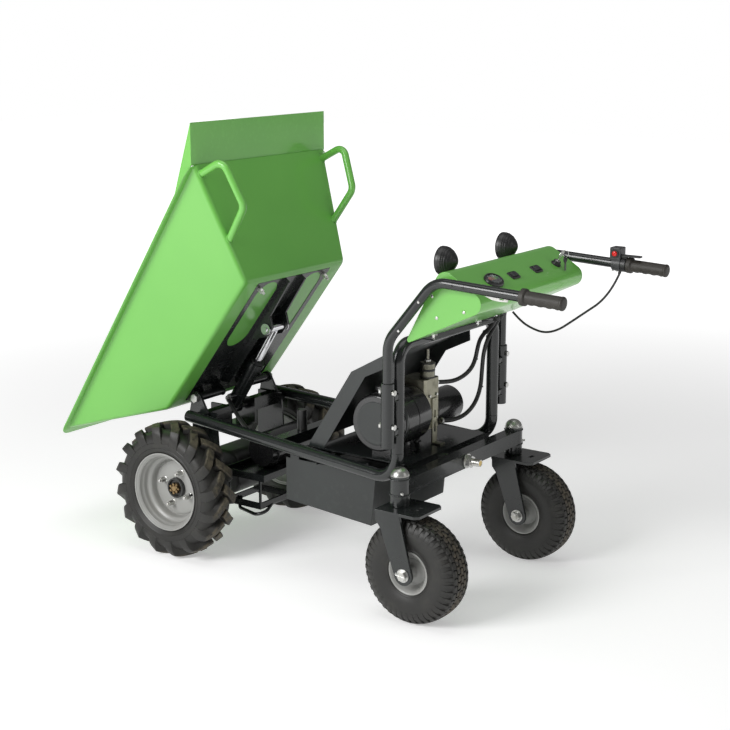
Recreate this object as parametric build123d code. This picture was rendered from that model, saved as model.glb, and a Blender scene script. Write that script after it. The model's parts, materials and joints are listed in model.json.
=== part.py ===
"""Power wheelbarrow with a hydraulic tipping tub, two driven front wheels and two rear casters.

Frame: +X forward (the end the tub tips over), +Y the machine's left, +Z up.
Origin: on the ground, below the middle of the front axle.
Every size is in millimetres.  The tub is modelled tipped up, as the machine stands.
"""
import os
from math import atan2, cos, degrees, radians, sin

from build123d import *

# ---- running gear -------------------------------------------------------------------------
DRIVE_TYRE_R = 195.0
DRIVE_TYRE_WIDTH = 110.0
DRIVE_TRACK_HALF = 268.0
DRIVE_FLANGE_R = 114.0
DRIVE_RIM_WIDTH = 94.0
AXLE_SHAFT_R = 12.5
AXLE_TUBE_R = 22.0
LUG_PCD_R = 50.0
LUG_COUNT = 4
HUB_FACE = 2.0
HUB_RECESS = 8.0

CASTER_TYRE_R = 140.0
CASTER_TYRE_WIDTH = 96.0
CASTER_FLANGE_R = 59.0
CASTER_RIM_WIDTH = 78.0
CASTER_AXLE_R = 8.0
CASTER_Y = 288.0
CASTER_TRAIL = 52.0
FORK_TOP_Z = 301.0
FORK_PLATE = 8.0
FORK_GAP_HALF = 54.0
FORK_NOSE = 36.0
FORK_TAIL = 42.0
FORK_CORNER = 12.0
LOCK_SLOT = (10.0, 22.0)

# ---- rear beam ------------------------------------------------------------------------------
POST_X = -791.0
POST_R = 25.0
POST_HEIGHT = 76.0
POST_GAP = 1.0
CAP_HEIGHT = 22.0
STEM_R = 12.0
BEAM_DEPTH = 38.0
BEAM_HEIGHT = 40.0
BEAM_WALL = 4.0
BEAM_Z = 352.0
BEAM_BOLT_R = 10.0
BEAM_BOLT_END_X = -856.0

# ---- frame tubes ------------------------------------------------------------------------------
RAIL_R = 17.0
TUBE_WALL = 2.5
RAIL_FRONT = (10.0, 193.0, 392.0)
HOOP_X = -748.0
HOOP_Y = 236.0
RAIL_REAR_Z = 344.4
RAIL_BEND_R = 65.0
HOOP_FOOT_Z = 420.0
HOOP_TOP_Z = 702.0
HOOP_CORNER_R = 48.0
LEDGE_HALF = 150.0
LEDGE_Z = 706.0
SHEET = 3.0

# ---- handles ------------------------------------------------------------------------------------
HANDLE_R = 13.0
HANDLE_Y = 282.0
HANDLE_FOOT_Z = 446.0
HANDLE_KNEE_Z = 721.6
HANDLE_SHOULDER = (-885.0, 887.0)
HANDLE_END = (-1238.0, 871.0)
SOCKET_WALL = 4.0
SOCKET_TOP_Z = 612.0
GRIP_WALL = 4.0
GRIP_LENGTH = 109.0

# ---- console ------------------------------------------------------------------------------------
CONSOLE_HALF = 262.0
CONSOLE_OUTLINE = ((-785.0, 715.0), (-892.0, 922.0), (-1037.0, 835.5))
CONSOLE_RADII = (6.0, 30.0, 28.0)
CONSOLE_SHEET = 2.0
GAUGE_Y = 140.0
GAUGE_BEZEL = (25.0, 32.0)
GAUGE_BODY = (20.0, 27.0)
GAUGE_HIGH = 9.0
ROCKER_BEZEL = (26.0, 36.0)
ROCKER_BODY = (19.6, 29.4)
ROCKER_HOLE = (15.6, 25.4)
ROCKER_CAP = (14.4, 23.0)
ROCKER_HIGH = 8.0
ROCKER_Y = (41.0, -76.0)
KEY_Y = -182.0
PANEL_ALONG = 88.0
RING_R = 9.2
RING_WIRE = 0.8

# ---- switches and levers on the bars ------------------------------------------------------------
SWITCH_X = (-1113.0, -1082.0)
SWITCH_Z = (887.0, 922.0)
SWITCH_HALF = 17.0
CLAMP_THICK = 6.5
BUTTON_X = -1098.0
BUTTON_Z = 906.0
BUTTON_R = 7.0
THROTTLE_SPAN = (-1127.0, -1114.0)
BRAKE_X = -1012.0
LEVER_THICK = 4.0
LEVER_REACH = ((12, 6), (8, -12), (-6, -17), (-28, -25), (-52, -27), (-70, -26), (-71, -20), (-55, -16), (-44, -6),
               (-36, 5), (-4, 10))

# ---- work lights ----------------------------------------------------------------------------------
LIGHT_Y = 150.0
LIGHT_R = 37.0
LIGHT_CENTRE = (-838.0, 917.0)
LIGHT_FOOT = (-863.6, 883.2)

# ---- tub, in its own frame: x forward, z up when the tub is down, origin on the hinge ----------
HINGE_X = 5.0
HINGE_Z = 440.0
TIP_ANGLE = 53.13
TIP_RANGE = 56.0
TUB_SHEET = 2.5
TUB_FLOOR_FRONT = 55.0
TUB_FLOOR_REAR = -444.0
TUB_FLOOR_Z = 26.4
TUB_FLOOR_HALF = 227.0
TUB_REAR_TOP = (-624.0, 312.5)
TUB_LIP = (351.0, 254.0)
TUB_SIDE_SLOPE = 0.21
FLANGE_WIDTH = 24.0
FENCE_RUN = 89.4
FENCE_RISE = 70.0
SUBFRAME_HALF = 165.0
SUBFRAME_FRONT = 34.0
SUBFRAME_REAR = -432.0
SUBFRAME_PLATE = 4.0
RIB_Y = 36.0
RIB_THICK = 8.0
HINGE_PIN_R = 8.0
HINGE_TUBE_R = 13.0
HINGE_TUBE_SPAN = (48.0, 154.0)
HINGE_LUG_SPAN = (156.0, 164.0)
TUB_HANDLE_R = 10.5
TUB_HANDLE_EDGE = 3.0

# ---- lift cylinder ----------------------------------------------------------------------------
LIFT_BASE = (12.0, 373.0)
LIFT_EYE = (-259.0, -10.6)
BARREL_R = 22.0
BARREL_LENGTH = 190.0
PORT_ALONG = 60.0
PORT_Y = 47.0
ROD_R = 12.5
EYE_BOSS_R = 11.0
EYE_PIN_R = 6.5
LUG_HOLE_R = 12.5
RUNNING = 0.05

# ---- battery box, deck, hood and front plates ---------------------------------------------------
BOX_FRONT_X = -337.0
BOX_REAR_X = -640.0
BOX_HALF = 180.0
BOX_TOP_Z = 325.0
DECK_Z = 374.0
DECK_FRONT_X = -452.0
DECK_REAR_X = -753.0
DECK_HALF = 196.0
HOOD_HALF = 198.0
HOOD_OUTLINE = ((-436.0, 392.0), (-573.0, 603.0), (-696.0, 671.0))
HOOD_FLANGE = 45.0
AXLE_PLATE_Y = 150.0
CROSS_X = (-35.0, -5.0)
CROSS_Z = (362.0, 400.0)
SADDLE_HALF = 52.0
SADDLE_WALL = 8.0
STOP_X = -333.0
STOP_Y = 100.0
STOP_R = 14.0
STOP_GAP = 1.2

# ---- power pack -----------------------------------------------------------------------------------
TANK_X = -640.0
TANK_Z = 468.0
TANK_R = 77.0
TANK_SPAN = (22.0, 180.0)
PUMP_MOTOR_R = 50.0
PUMP_MOTOR_SPAN = (-182.0, -52.0)

# ---- held cables and hoses: each list is the route, point by point ---------------------------------
THROTTLE_ROUTE = [(-1107, -283, 856), (-1096, -284, 832), (-1075, -286, 797), (-1047, -286, 764),
                  (-1010, -284, 737), (-969, -280, 706), (-931, -274, 678), (-893, -266, 667), (-855, -258, 678),
                  (-825, -250, 697), (-804, -245, 720)]
LIFT_HOSE_ROUTE = [(-22, 55, 423), (-52, 78, 412), (-90, 98, 394), (-130, 115, 372), (-172, 128, 351),
                   (-220, 135, 340), (-280, 136, 338), (-345, 135, 340), (-405, 130, 343), (-465, 112, 346),
                   (-530, 76, 348), (-575, 40, 349), (-605, 11, 350), (-627, -2, 357), (-644, -11, 376),
                   (-650, -14, 402), (-650, -14, 419.7)]
FERRULE_R = 8.0
FERRULE_LENGTH = 18.0
HOSE_R = 6.0
HOSE_HOLE_R = 13.0
UPPER_LOOM_ROUTE = [(-677, -54, 540), (-690, -84, 536), (-702, -118, 536), (-711, -152, 546), (-716, -178, 562),
                    (-719, -192, 586), (-722, -196, 614), (-734, -188, 643), (-757, -177, 668),
                    (-786, -168, 692), (-799, -166, 717)]
LOWER_LOOM_ROUTE = [(-700, -46, 436), (-706, -78, 430), (-714, -114, 430), (-722, -152, 440), (-728, -184, 466),
                    (-731, -203, 506), (-731, -208, 556), (-736, -207, 606), (-752, -204, 650), (-781, -192, 688),
                    (-797, -188, 716)]

SOCKET_R = HANDLE_R + SOCKET_WALL
GRIP_R = HANDLE_R + GRIP_WALL
AXLE_Z = DRIVE_TYRE_R
CASTER_X = POST_X - CASTER_TRAIL
CASTER_AXLE_Z = CASTER_TYRE_R
POST_FOOT_Z = FORK_TOP_Z + POST_GAP + 2.0
RAIL_SLOPE = (RAIL_FRONT[2] - RAIL_REAR_Z) / (RAIL_FRONT[0] - HOOP_X)

PARTS = {}


def keep(name, *solids):
    """Store the solids that make up one named node."""
    PARTS[name] = solids[0] if len(solids) == 1 else Compound(children=[s for s in solids])


def rod(radius, start, end):
    """Round bar between two points."""
    a, b = Vector(*start), Vector(*end)
    return extrude(Plane(origin=a, z_dir=b - a) * Circle(radius), (b - a).length)


def ring(outer, inner, start, end):
    """Round sleeve between two points."""
    a, b = Vector(*start), Vector(*end)
    return extrude(Plane(origin=a, z_dir=b - a) * (Circle(outer) - Circle(inner)), (b - a).length)


def block(x, y, z):
    """Box between two limits on each axis."""
    size = [high - low for low, high in (x, y, z)]
    centre = [(high + low) / 2 for low, high in (x, y, z)]
    return Pos(*centre) * Box(*size)


def pipe(points, radii, outer, wall=0.0):
    """Round bar or tube along straight runs joined by arcs, one radius for each corner."""
    path = FilletPolyline(*points, radius=radii)
    section = Circle(outer) if wall == 0 else Circle(outer) - Circle(outer - wall)
    return sweep(Plane(origin=path @ 0, z_dir=path % 0) * section, path=path)


def hose(points, radius):
    """Held hose: each arc is as large as its two runs allow."""
    knots = [Vector(*p) for p in points]
    radii = []
    for before, at, after in zip(knots, knots[1:], knots[2:]):
        run = min((at - before).length, (after - at).length)
        half_turn = radians((at - before).get_angle(after - at)) / 2
        radii.append(0.45 * run * cos(half_turn) / sin(half_turn))
    print("hose radii", [round(r) for r in radii])
    return pipe(points, radii, radius)


def side_profile(outline, y_low, y_high):
    """Extrude an outline given in X and Z between two Y values."""
    face = make_face(Polyline(*[(x, y_low, z) for x, z in outline], close=True))
    return extrude(face, y_high - y_low, dir=(0, 1, 0))


def revolved(outline, centre):
    """Turn a profile of (radius, along) points about an axle that runs along +Y."""
    face = make_face(Polyline(*[(r, 0, s) for r, s in outline], close=True))
    solid = revolve(face, Axis.Z, 360)
    return Plane(origin=centre, x_dir=(1, 0, 0), z_dir=(0, 1, 0)) * solid


def hexagon_bolt(radius, start, end, across=0.0):
    """Bolt with a hexagon head at its start."""
    a, b = Vector(*start), Vector(*end)
    direction = (b - a).normalized()
    head = across or radius * 1.9
    hexagon = Plane(origin=a - direction * radius * 1.2, z_dir=direction) * RegularPolygon(head, 6)
    return rod(radius, start, end) + extrude(hexagon, radius * 1.2)


def mirrored(shape):
    """The same shape on the other side of the machine."""
    return mirror(shape, about=Plane.XZ)


def rail_point(x, side=1):
    """Centre of a rail at a place along the machine."""
    share = (RAIL_FRONT[0] - x) / (RAIL_FRONT[0] - HOOP_X)
    y = RAIL_FRONT[1] + (HOOP_Y - RAIL_FRONT[1]) * share
    return (x, side * y, RAIL_FRONT[2] - RAIL_SLOPE * (RAIL_FRONT[0] - x))


# ---- frame ------------------------------------------------------------------------------------
def rail_path():
    """Corner points of the left rail, from its front end to the foot of the hoop."""
    return [RAIL_FRONT, (HOOP_X, HOOP_Y, RAIL_REAR_Z), (HOOP_X, HOOP_Y, HOOP_FOOT_Z)]


def rail_core():
    """Both rails as solid bars, used to trim what is welded between them."""
    core = pipe(rail_path(), [RAIL_BEND_R], RAIL_R)
    return core + mirrored(core)


def rear_hoop():
    """Inverted U tube with the two welded sockets that take the handle tubes."""
    posts = [(HOOP_X, side * HOOP_Y, HOOP_FOOT_Z) for side in (1, -1)]
    tops = [(HOOP_X, side * HOOP_Y, HOOP_TOP_Z) for side in (1, -1)]
    corners = [posts[0], tops[0], tops[1], posts[1]]
    hoop = pipe(corners, [HOOP_CORNER_R] * 2, RAIL_R, TUBE_WALL)
    for side in (1, -1):
        y = side * HANDLE_Y
        socket = ring(SOCKET_R, HANDLE_R + RUNNING, (HOOP_X, y, HANDLE_FOOT_Z - 2), (HOOP_X, y, SOCKET_TOP_Z))
        hoop += socket
        inner, outer = sorted((side * (HOOP_Y + RAIL_R - 2), side * (HANDLE_Y - SOCKET_R + 2)))
        for z in (480.0, 572.0):
            hoop += block((HOOP_X - 12, HOOP_X + 12), (inner, outer), (z - 8, z + 8))
    ledge = block((HOOP_X - 54, HOOP_X), (-LEDGE_HALF, LEDGE_HALF), (LEDGE_Z, LEDGE_Z + 4))
    core = rod(RAIL_R - 1, (HOOP_X, -LEDGE_HALF - 1, HOOP_TOP_Z), (HOOP_X, LEDGE_HALF + 1, HOOP_TOP_Z))
    return hoop + (ledge - core)


def front_frame():
    """Front cross-member, saddle for the lift cylinder, axle plates and tub hinge lugs."""
    low_z, high_z = CROSS_Z
    inner = SADDLE_HALF
    outer = SADDLE_HALF + SADDLE_WALL
    frame = block(CROSS_X, (inner, RAIL_FRONT[1]), CROSS_Z)
    frame += block((CROSS_X[0], 40), (inner, outer), (322, high_z))
    lug = side_profile([(-38, high_z - 1), (30, high_z - 1), (18, 452), (5, 459), (-9, 452)], *HINGE_LUG_SPAN)
    lug -= rod(HINGE_PIN_R + RUNNING, (HINGE_X, 100, HINGE_Z), (HINGE_X, 200, HINGE_Z))
    frame += lug
    frame += block((-38, 30), HINGE_LUG_SPAN, (low_z, high_z))
    outline = [(-60, high_z), (30, high_z), (34, AXLE_Z - 35), (-34, AXLE_Z - 45), (-72, AXLE_Z + 41)]
    plate = side_profile(outline, AXLE_PLATE_Y - 3, AXLE_PLATE_Y + 3)
    frame += plate
    frame += mirrored(frame)
    frame += block((CROSS_X[0], 40), (-outer, outer), (322, 328))
    pin = rod(HINGE_PIN_R + RUNNING, (LIFT_BASE[0], -60, LIFT_BASE[1]), (LIFT_BASE[0], 60, LIFT_BASE[1]))
    bearing = rod(AXLE_TUBE_R + 0.2, (0, -160, AXLE_Z), (0, 160, AXLE_Z))
    return frame - pin - bearing - rail_core()


def frame_crossbars():
    """Cross-members under the tub stop and along the rear of the deck."""
    _, stop_y, stop_z = rail_point(STOP_X)
    rear_half = HOOP_Y - RAIL_R
    middle = block((STOP_X - 18, STOP_X + 18), (-stop_y, stop_y), (stop_z - 15, stop_z + 15))
    rear = block((DECK_REAR_X + 2, DECK_REAR_X + 40), (-rear_half, rear_half), (BEAM_Z - 20, BEAM_Z + 20))
    bush = rod(BEAM_BOLT_R + 0.2, (DECK_REAR_X - 20, 0, BEAM_Z), (DECK_REAR_X + 60, 0, BEAM_Z))
    return (middle + rear - bush) - rail_core()


def deck_plate():
    """Folded steel floor that carries the power pack."""
    deck = block((DECK_REAR_X, DECK_FRONT_X), (-DECK_HALF, DECK_HALF), (DECK_Z, DECK_Z + SHEET))
    apron = block((DECK_FRONT_X - SHEET, DECK_FRONT_X), (-DECK_HALF, DECK_HALF), (BOX_TOP_Z + 1, DECK_Z))
    _, hole_y, hole_z = LIFT_HOSE_ROUTE[9]
    hole_x, rise_y, _ = LIFT_HOSE_ROUTE[14]
    front = rod(HOSE_HOLE_R, (DECK_FRONT_X - 20, hole_y + 2, hole_z), (DECK_FRONT_X + 20, hole_y + 2, hole_z))
    return deck + apron - front - rod(HOSE_HOLE_R, (hole_x, rise_y, DECK_Z - 10), (hole_x, rise_y, DECK_Z + 10))


def hood_cover():
    """Bent cover in front of the power pack, with a return along each side."""
    (x0, z0), (x1, z1), (x2, z2) = HOOD_OUTLINE
    outer = [(x0, z0), (x1, z1), (x2, z2)]
    inner = [(x2 - 2, z2 - SHEET), (x1 - SHEET, z1 - 2), (x0 - 4, z0)]
    sheet = side_profile(outer + inner, -HOOD_HALF, HOOD_HALF)
    back = [(x2 - 2, z2 - HOOD_FLANGE + 8), (x1 - HOOD_FLANGE, z1 - 8), (x0 - HOOD_FLANGE, DECK_Z + SHEET)]
    foot = [(x0 + 6, DECK_Z + SHEET)]
    side = side_profile(outer + back + foot, HOOD_HALF - SHEET, HOOD_HALF)
    return sheet + side + mirrored(side)


def battery_box():
    """Open-topped tray that hangs between the rails and holds the batteries."""
    outline = [(BOX_FRONT_X, 203), (BOX_FRONT_X, BOX_TOP_Z), (BOX_REAR_X, BOX_TOP_Z), (BOX_REAR_X + 14, 181)]
    inside = [(BOX_FRONT_X - SHEET, 207), (BOX_FRONT_X - SHEET, BOX_TOP_Z + 1),
              (BOX_REAR_X + SHEET, BOX_TOP_Z + 1), (BOX_REAR_X + 14 + SHEET, 185)]
    box = side_profile(outline, -BOX_HALF, BOX_HALF)
    box -= side_profile(inside, -BOX_HALF + SHEET, BOX_HALF - SHEET)
    hangers = []
    for x in (BOX_FRONT_X - 30, BOX_REAR_X + 40):
        hangers.append(block((x - 15, x + 15), (BOX_HALF - SHEET, BOX_HALF), (BOX_TOP_Z - 2, rail_point(x)[2])))
        reach = block((x - 15, x + 15), (BOX_HALF - SHEET, 225), (rail_point(x)[2] - 2, rail_point(x)[2] + 2))
        hangers.append(reach)
    for hanger in hangers:
        box += hanger
        box += mirrored(hanger)
    return box - rail_core()


def batteries():
    """Two sealed batteries standing side by side in the tray."""
    cells = []
    for side in (1, -1):
        case = block((BOX_REAR_X + 26, BOX_FRONT_X - 14), tuple(sorted((side * 4, side * 168))), (208, 300))
        case = fillet(case.edges().filter_by(Axis.Z), 6)
        for x in (BOX_REAR_X + 50, BOX_FRONT_X - 40):
            case += rod(9, (x, side * 40, 299), (x, side * 40, 312))
        cells.append(case)
    return cells


def motor_tray():
    """Tray behind the axle with a flat-bar guard and a bent rod hung below it."""
    tray = block((-230, -78), (-147, 147), (222, 242)) - block((-227, -81), (-144, 144), (225, 260))
    guard = block((-215, -95), (0, 146), (138, 156)) - block((-209, -101), (6, 140), (130, 160))
    for x, y in ((-212, 143), (-212, 3), (-98, 143), (-98, 3)):
        guard += block((x - 3, x + 3), (y - 3, y + 3), (150, 223))
    skid = pipe([(-104, 100, 146), (-118, 124, 121), (-232, 158, 121), (-206, 74, 146)], [14, 26], 5)
    return tray + guard + skid


def transaxle():
    """Gear case, axle tubes and the shaft that carries both drive wheels."""
    case = block((-70, 62), (-66, 66), (AXLE_Z - 63, AXLE_Z + 67))
    case = fillet(case.edges().filter_by(Axis.Y), 40)
    case = fillet(case.edges().group_by(Axis.Y)[-1] + case.edges().group_by(Axis.Y)[0], 8)
    tube_end = DRIVE_TRACK_HALF - 46
    case += rod(AXLE_TUBE_R, (0, -tube_end + 8, AXLE_Z), (0, tube_end - 8, AXLE_Z))
    shaft_end = DRIVE_TRACK_HALF + HUB_FACE - HUB_RECESS - 1
    case += rod(AXLE_SHAFT_R, (0, -shaft_end, AXLE_Z), (0, shaft_end, AXLE_Z))
    return case


def drive_motor():
    """Electric drive motor lying across the tray."""
    body = rod(52, (-150, -120, 282), (-150, 40, 282))
    body += rod(46, (-150, 40, 282), (-150, 62, 282)) + rod(34, (-150, -134, 282), (-150, -120, 282))
    foot = block((-196, -104), (-100, 20), (225, 236))
    return body + foot


def tub_stop():
    """Capped post that the lowered tub rests on."""
    foot_z = rail_point(STOP_X)[2] + 15
    droop = (HINGE_X - STOP_X) * sin(radians(TIP_RANGE - TIP_ANGLE))
    top_z = HINGE_Z + TUB_FLOOR_Z - SUBFRAME_PLATE - droop - STOP_GAP
    post = rod(STOP_R, (STOP_X, STOP_Y, foot_z), (STOP_X, STOP_Y, top_z))
    return chamfer(post.edges().sort_by(Axis.Z)[-1], 2)


# ---- handles and grips ---------------------------------------------------------------------------
def handle_points(side):
    """Corner points of a handle tube from its foot to its rear end."""
    y = side * HANDLE_Y
    knee = (HOOP_X, y, HANDLE_KNEE_Z)
    shoulder = (HANDLE_SHOULDER[0], y, HANDLE_SHOULDER[1])
    return [(HOOP_X, y, HANDLE_FOOT_Z), knee, shoulder, (HANDLE_END[0], y, HANDLE_END[1])]


def bar_point(x, side):
    """Centre of the rear part of a handle tube at a place along the machine."""
    (x0, z0), (x1, z1) = HANDLE_SHOULDER, HANDLE_END
    return Vector(x, side * HANDLE_Y, z0 + (z1 - z0) * (x - x0) / (x1 - x0))


def handle_grip(side):
    """Rubber grip with a collar, ribs below for the fingers and a closed end."""
    end = bar_point(HANDLE_END[0] - 4, side)
    start = bar_point(HANDLE_END[0] - 4 + GRIP_LENGTH, side)
    grip = rod(GRIP_R, end, start)
    grip += rod(GRIP_R + 4, start, bar_point(HANDLE_END[0] + GRIP_LENGTH - 10, side))
    grip -= rod(HANDLE_R, bar_point(HANDLE_END[0], side), bar_point(HANDLE_END[0] + GRIP_LENGTH + 9, side))
    return grip


# ---- console -------------------------------------------------------------------------------------
def console_face(inset=0.0):
    """Rounded triangular end outline of the console."""
    line = FilletPolyline(*[(x, 0, z) for x, z in CONSOLE_OUTLINE], radius=CONSOLE_RADII, close=True)
    face = make_face(line)
    return offset(face, -inset) if inset else face


def panel_plane(y, along=PANEL_ALONG, out=0.0):
    """Plane on the sloping top of the console, measured down its slope from the front corner."""
    (x0, z0), (x1, z1) = CONSOLE_OUTLINE[1:]
    slope = Vector(x1 - x0, 0, z1 - z0).normalized()
    normal = Vector(slope.Z, 0, -slope.X)
    origin = Vector(x0, y, z0) + slope * along + normal * out
    return Plane(origin=origin, x_dir=slope, z_dir=normal)


def console_shell(cutters):
    """Wrapped sheet of the console with the openings for its instruments."""
    inner_half = CONSOLE_HALF - CONSOLE_SHEET
    section = console_face() - console_face(CONSOLE_SHEET)
    shell = extrude(section, inner_half * 2, dir=(0, 1, 0)).moved(Pos(0, -inner_half, 0))
    for cutter in cutters:
        shell -= cutter
    return shell


def console_ends():
    """The two flat end plates of the console."""
    plate = extrude(console_face(), CONSOLE_SHEET, dir=(0, 1, 0))
    return [plate.moved(Pos(0, CONSOLE_HALF - CONSOLE_SHEET, 0)), plate.moved(Pos(0, -CONSOLE_HALF, 0))]


def gauge_solid():
    """Oval battery gauge with a raised bezel and a body behind the panel."""
    bezel = extrude(panel_plane(GAUGE_Y) * Ellipse(*GAUGE_BEZEL), GAUGE_HIGH)
    bezel = fillet(bezel.edges().sort_by(SortBy.LENGTH)[-1], 2)
    return bezel + extrude(panel_plane(GAUGE_Y) * Ellipse(*GAUGE_BODY), -24)


def rocker_bezel(y):
    """Plain frame of a rocker switch and its body behind the panel."""
    frame = extrude(panel_plane(y) * (Rectangle(*ROCKER_BEZEL) - Rectangle(*ROCKER_HOLE)), 4)
    body = extrude(panel_plane(y, out=-22) * Rectangle(*ROCKER_BODY), 8)
    walls = extrude(panel_plane(y, out=-14) * (Rectangle(*ROCKER_BODY) - Rectangle(*ROCKER_HOLE)), 14)
    return frame + body + walls


def rocker_paddle(y):
    """Rocking button of a switch."""
    cap = extrude(panel_plane(y, out=-5) * Rectangle(*ROCKER_CAP), 5 + ROCKER_HIGH)
    plane = panel_plane(y)
    reach = plane.x_dir * (ROCKER_CAP[0] / 2 + 0.3)
    trunnion = rod(2, plane.origin - reach, plane.origin + reach)
    return fillet(cap.edges().filter_by(Axis.Y).group_by(Axis.Z)[-1], 1.5) + trunnion


def key_switch():
    """Round key lock with a nut and a body behind the panel."""
    collar = extrude(panel_plane(KEY_Y) * Circle(14), 5)
    barrel = extrude(panel_plane(KEY_Y) * Circle(10), 11)
    return collar + barrel + extrude(panel_plane(KEY_Y) * Circle(9), -34)


def key_hole():
    """Centre of the hole in the key's bow."""
    plane = panel_plane(KEY_Y, out=11.3)
    return plane.origin + plane.z_dir * 26


def ring_centre():
    """Centre of the split ring, which leans on the bow and hangs behind it."""
    plane = panel_plane(KEY_Y)
    lift = 3.6
    return key_hole() + plane.z_dir * lift + plane.x_dir * (RING_R ** 2 - lift ** 2) ** 0.5


def ignition_key():
    """Key standing in the lock, and the split ring through its bow."""
    plane = panel_plane(KEY_Y, out=11.3)
    shank = extrude(plane * Rectangle(2, 6), 10)
    upright = Plane(origin=plane.origin + plane.z_dir * 20, x_dir=plane.y_dir, z_dir=plane.x_dir)
    bow = upright * Pos(0, 0, -1) * (extrude(Ellipse(11, 12), 2) - extrude(Pos(0, 6, 0) * Circle(2.6), 2))
    loop = Plane(origin=ring_centre(), x_dir=(1, 0, 0), z_dir=(0, 1, 0)) * Torus(RING_R, RING_WIRE)
    return [shank + bow, loop]


def spare_key():
    """Second key, which hangs from the lowest point of the ring."""
    top = ring_centre() - Vector(0, 0, RING_R)
    plate = Plane(origin=top - Vector(0, 0, 6), x_dir=(0, 1, 0), z_dir=(1, 0, 0)) * Pos(0, 0, -1)
    bow = plate * extrude(Ellipse(10, 10), 2)
    blade = plate * Pos(0, -19, 0) * extrude(Rectangle(7, 22), 2)
    hole = rod(2.6, top - Vector(3, 0, 0), top + Vector(3, 0, 0))
    return bow + blade - hole


# ---- switches on the bars ------------------------------------------------------------------------
def switch_box():
    """Small switch housing and the throttle body, both clamped on the right bar."""
    y = -HANDLE_Y
    box = block(SWITCH_X, (y - SWITCH_HALF, y + SWITCH_HALF), SWITCH_Z)
    box = fillet(box.edges(), 3)
    outer = HANDLE_R + CLAMP_THICK
    box += rod(outer, bar_point(SWITCH_X[0] + 1, -1), bar_point(SWITCH_X[1] - 6, -1))
    box -= rod(HANDLE_R + 0.1, bar_point(SWITCH_X[0] - 40, -1), bar_point(SWITCH_X[1] + 40, -1))
    return box - rod(BUTTON_R + 0.3, (BUTTON_X, y + 6, BUTTON_Z), (BUTTON_X, y + 30, BUTTON_Z))


def stop_button():
    """Round push button on the inboard side of the switch housing."""
    y = -HANDLE_Y
    stem = rod(BUTTON_R, (BUTTON_X, y + 11, BUTTON_Z), (BUTTON_X, y + SWITCH_HALF + 7, BUTTON_Z))
    return fillet(stem.edges().sort_by(Axis.Y)[-1], 3)


def throttle_lever():
    """Thumb lever that turns about the right bar, its paddle lying over the grip."""
    start, end = bar_point(THROTTLE_SPAN[1], -1), bar_point(THROTTLE_SPAN[0], -1)
    outer = HANDLE_R + CLAMP_THICK
    hub = ring(outer, HANDLE_R + RUNNING, start, end)
    top = bar_point(THROTTLE_SPAN[1], -1).Z + GRIP_R + 5.5
    paddle = block((THROTTLE_SPAN[0] - 42, THROTTLE_SPAN[1]), (-HANDLE_Y - 4, -HANDLE_Y + 16), (top, top + 4))
    neck = block(THROTTLE_SPAN, (-HANDLE_Y - 4, -HANDLE_Y + 8), (top - 9, top + 1))
    neck -= rod(outer - 1, bar_point(THROTTLE_SPAN[1] + 5, -1), bar_point(THROTTLE_SPAN[0] - 5, -1))
    return hub + fillet(paddle.edges().filter_by(Axis.Z), 5) + neck


def brake_pivot():
    """Pivot of the hand lever on the inboard side of the left bar."""
    return bar_point(BRAKE_X, 1)


def brake_lever():
    """Flat hand lever that hangs beside and below the left bar."""
    pivot = brake_pivot()
    high = HANDLE_Y - HANDLE_R - 1
    blade = side_profile([(pivot.X + x, pivot.Z + z) for x, z in LEVER_REACH], high - LEVER_THICK, high)
    blade -= block((pivot.X - 60, pivot.X - 48), (high - 10, high + 10), (pivot.Z - 22, pivot.Z - 19))
    return blade - rod(4 + RUNNING, (pivot.X, high - 15, pivot.Z), (pivot.X, high + 5, pivot.Z))


def brake_pin():
    """Shouldered pin that holds the hand lever on the bar."""
    pivot = brake_pivot()
    high = HANDLE_Y - HANDLE_R
    outer = high - LEVER_THICK - 1.3
    pin = rod(4, (pivot.X, outer - 1.7, pivot.Z), (pivot.X, high + 1.5, pivot.Z))
    pin += rod(8, (pivot.X, outer - 2.7, pivot.Z), (pivot.X, outer, pivot.Z))
    return pin - rod(HANDLE_R, bar_point(BRAKE_X - 20, 1), bar_point(BRAKE_X + 20, 1))


# ---- work lights ------------------------------------------------------------------------------------
def work_light(side):
    """Round lamp with a domed back on a short stalk."""
    x, z = LIGHT_CENTRE
    y = side * LIGHT_Y
    r = LIGHT_R
    outline = [(18, 0), (18, r), (7, r), (0, r - 2), (-9, r - 7), (-18, r - 15), (-25, r - 24), (-29, r - 31), (-30, 0)]
    body = revolve(make_face(Polyline(*[(along, out, 0) for along, out in outline], close=True)), Axis.X, 360)
    body = Pos(x, y, z) * body - rod(r - 4, (x + 10, y, z), (x + 30, y, z))
    foot_x, foot_z = LIGHT_FOOT
    stalk = rod(5, (foot_x, y, foot_z), (x - 4, y, z - LIGHT_R + 6))
    foot = rod(7, (foot_x, y - 8, foot_z), (foot_x, y + 8, foot_z))
    return body + stalk + foot - rod(3 + RUNNING, (foot_x, y - 9, foot_z), (foot_x, y + 9, foot_z))


def light_brackets():
    """Pair of ears and a cross pin on the console for each lamp."""
    foot_x, foot_z = LIGHT_FOOT
    (x0, z0), (x1, z1) = CONSOLE_OUTLINE[:2]
    up = Vector(x1 - x0, 0, z1 - z0).normalized()
    out = Vector(up.Z, 0, -up.X)
    foot = Vector(foot_x, 0, foot_z)
    reach = (foot - Vector(x0, 0, z0)).dot(out)
    base = foot - out * (reach - 0.05)
    outline = [base - up * 8, base + up * 8, foot + up * 5 + out * 6, foot - up * 5 + out * 6]
    brackets = []
    for side in (1, -1):
        y = side * LIGHT_Y
        pin = rod(3, (foot_x, y - 13, foot_z), (foot_x, y + 13, foot_z))
        for low in (y - 12, y + 9):
            pin += side_profile([(p.X, p.Z) for p in outline], low, low + 3)
        brackets.append(pin)
    return brackets


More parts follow.
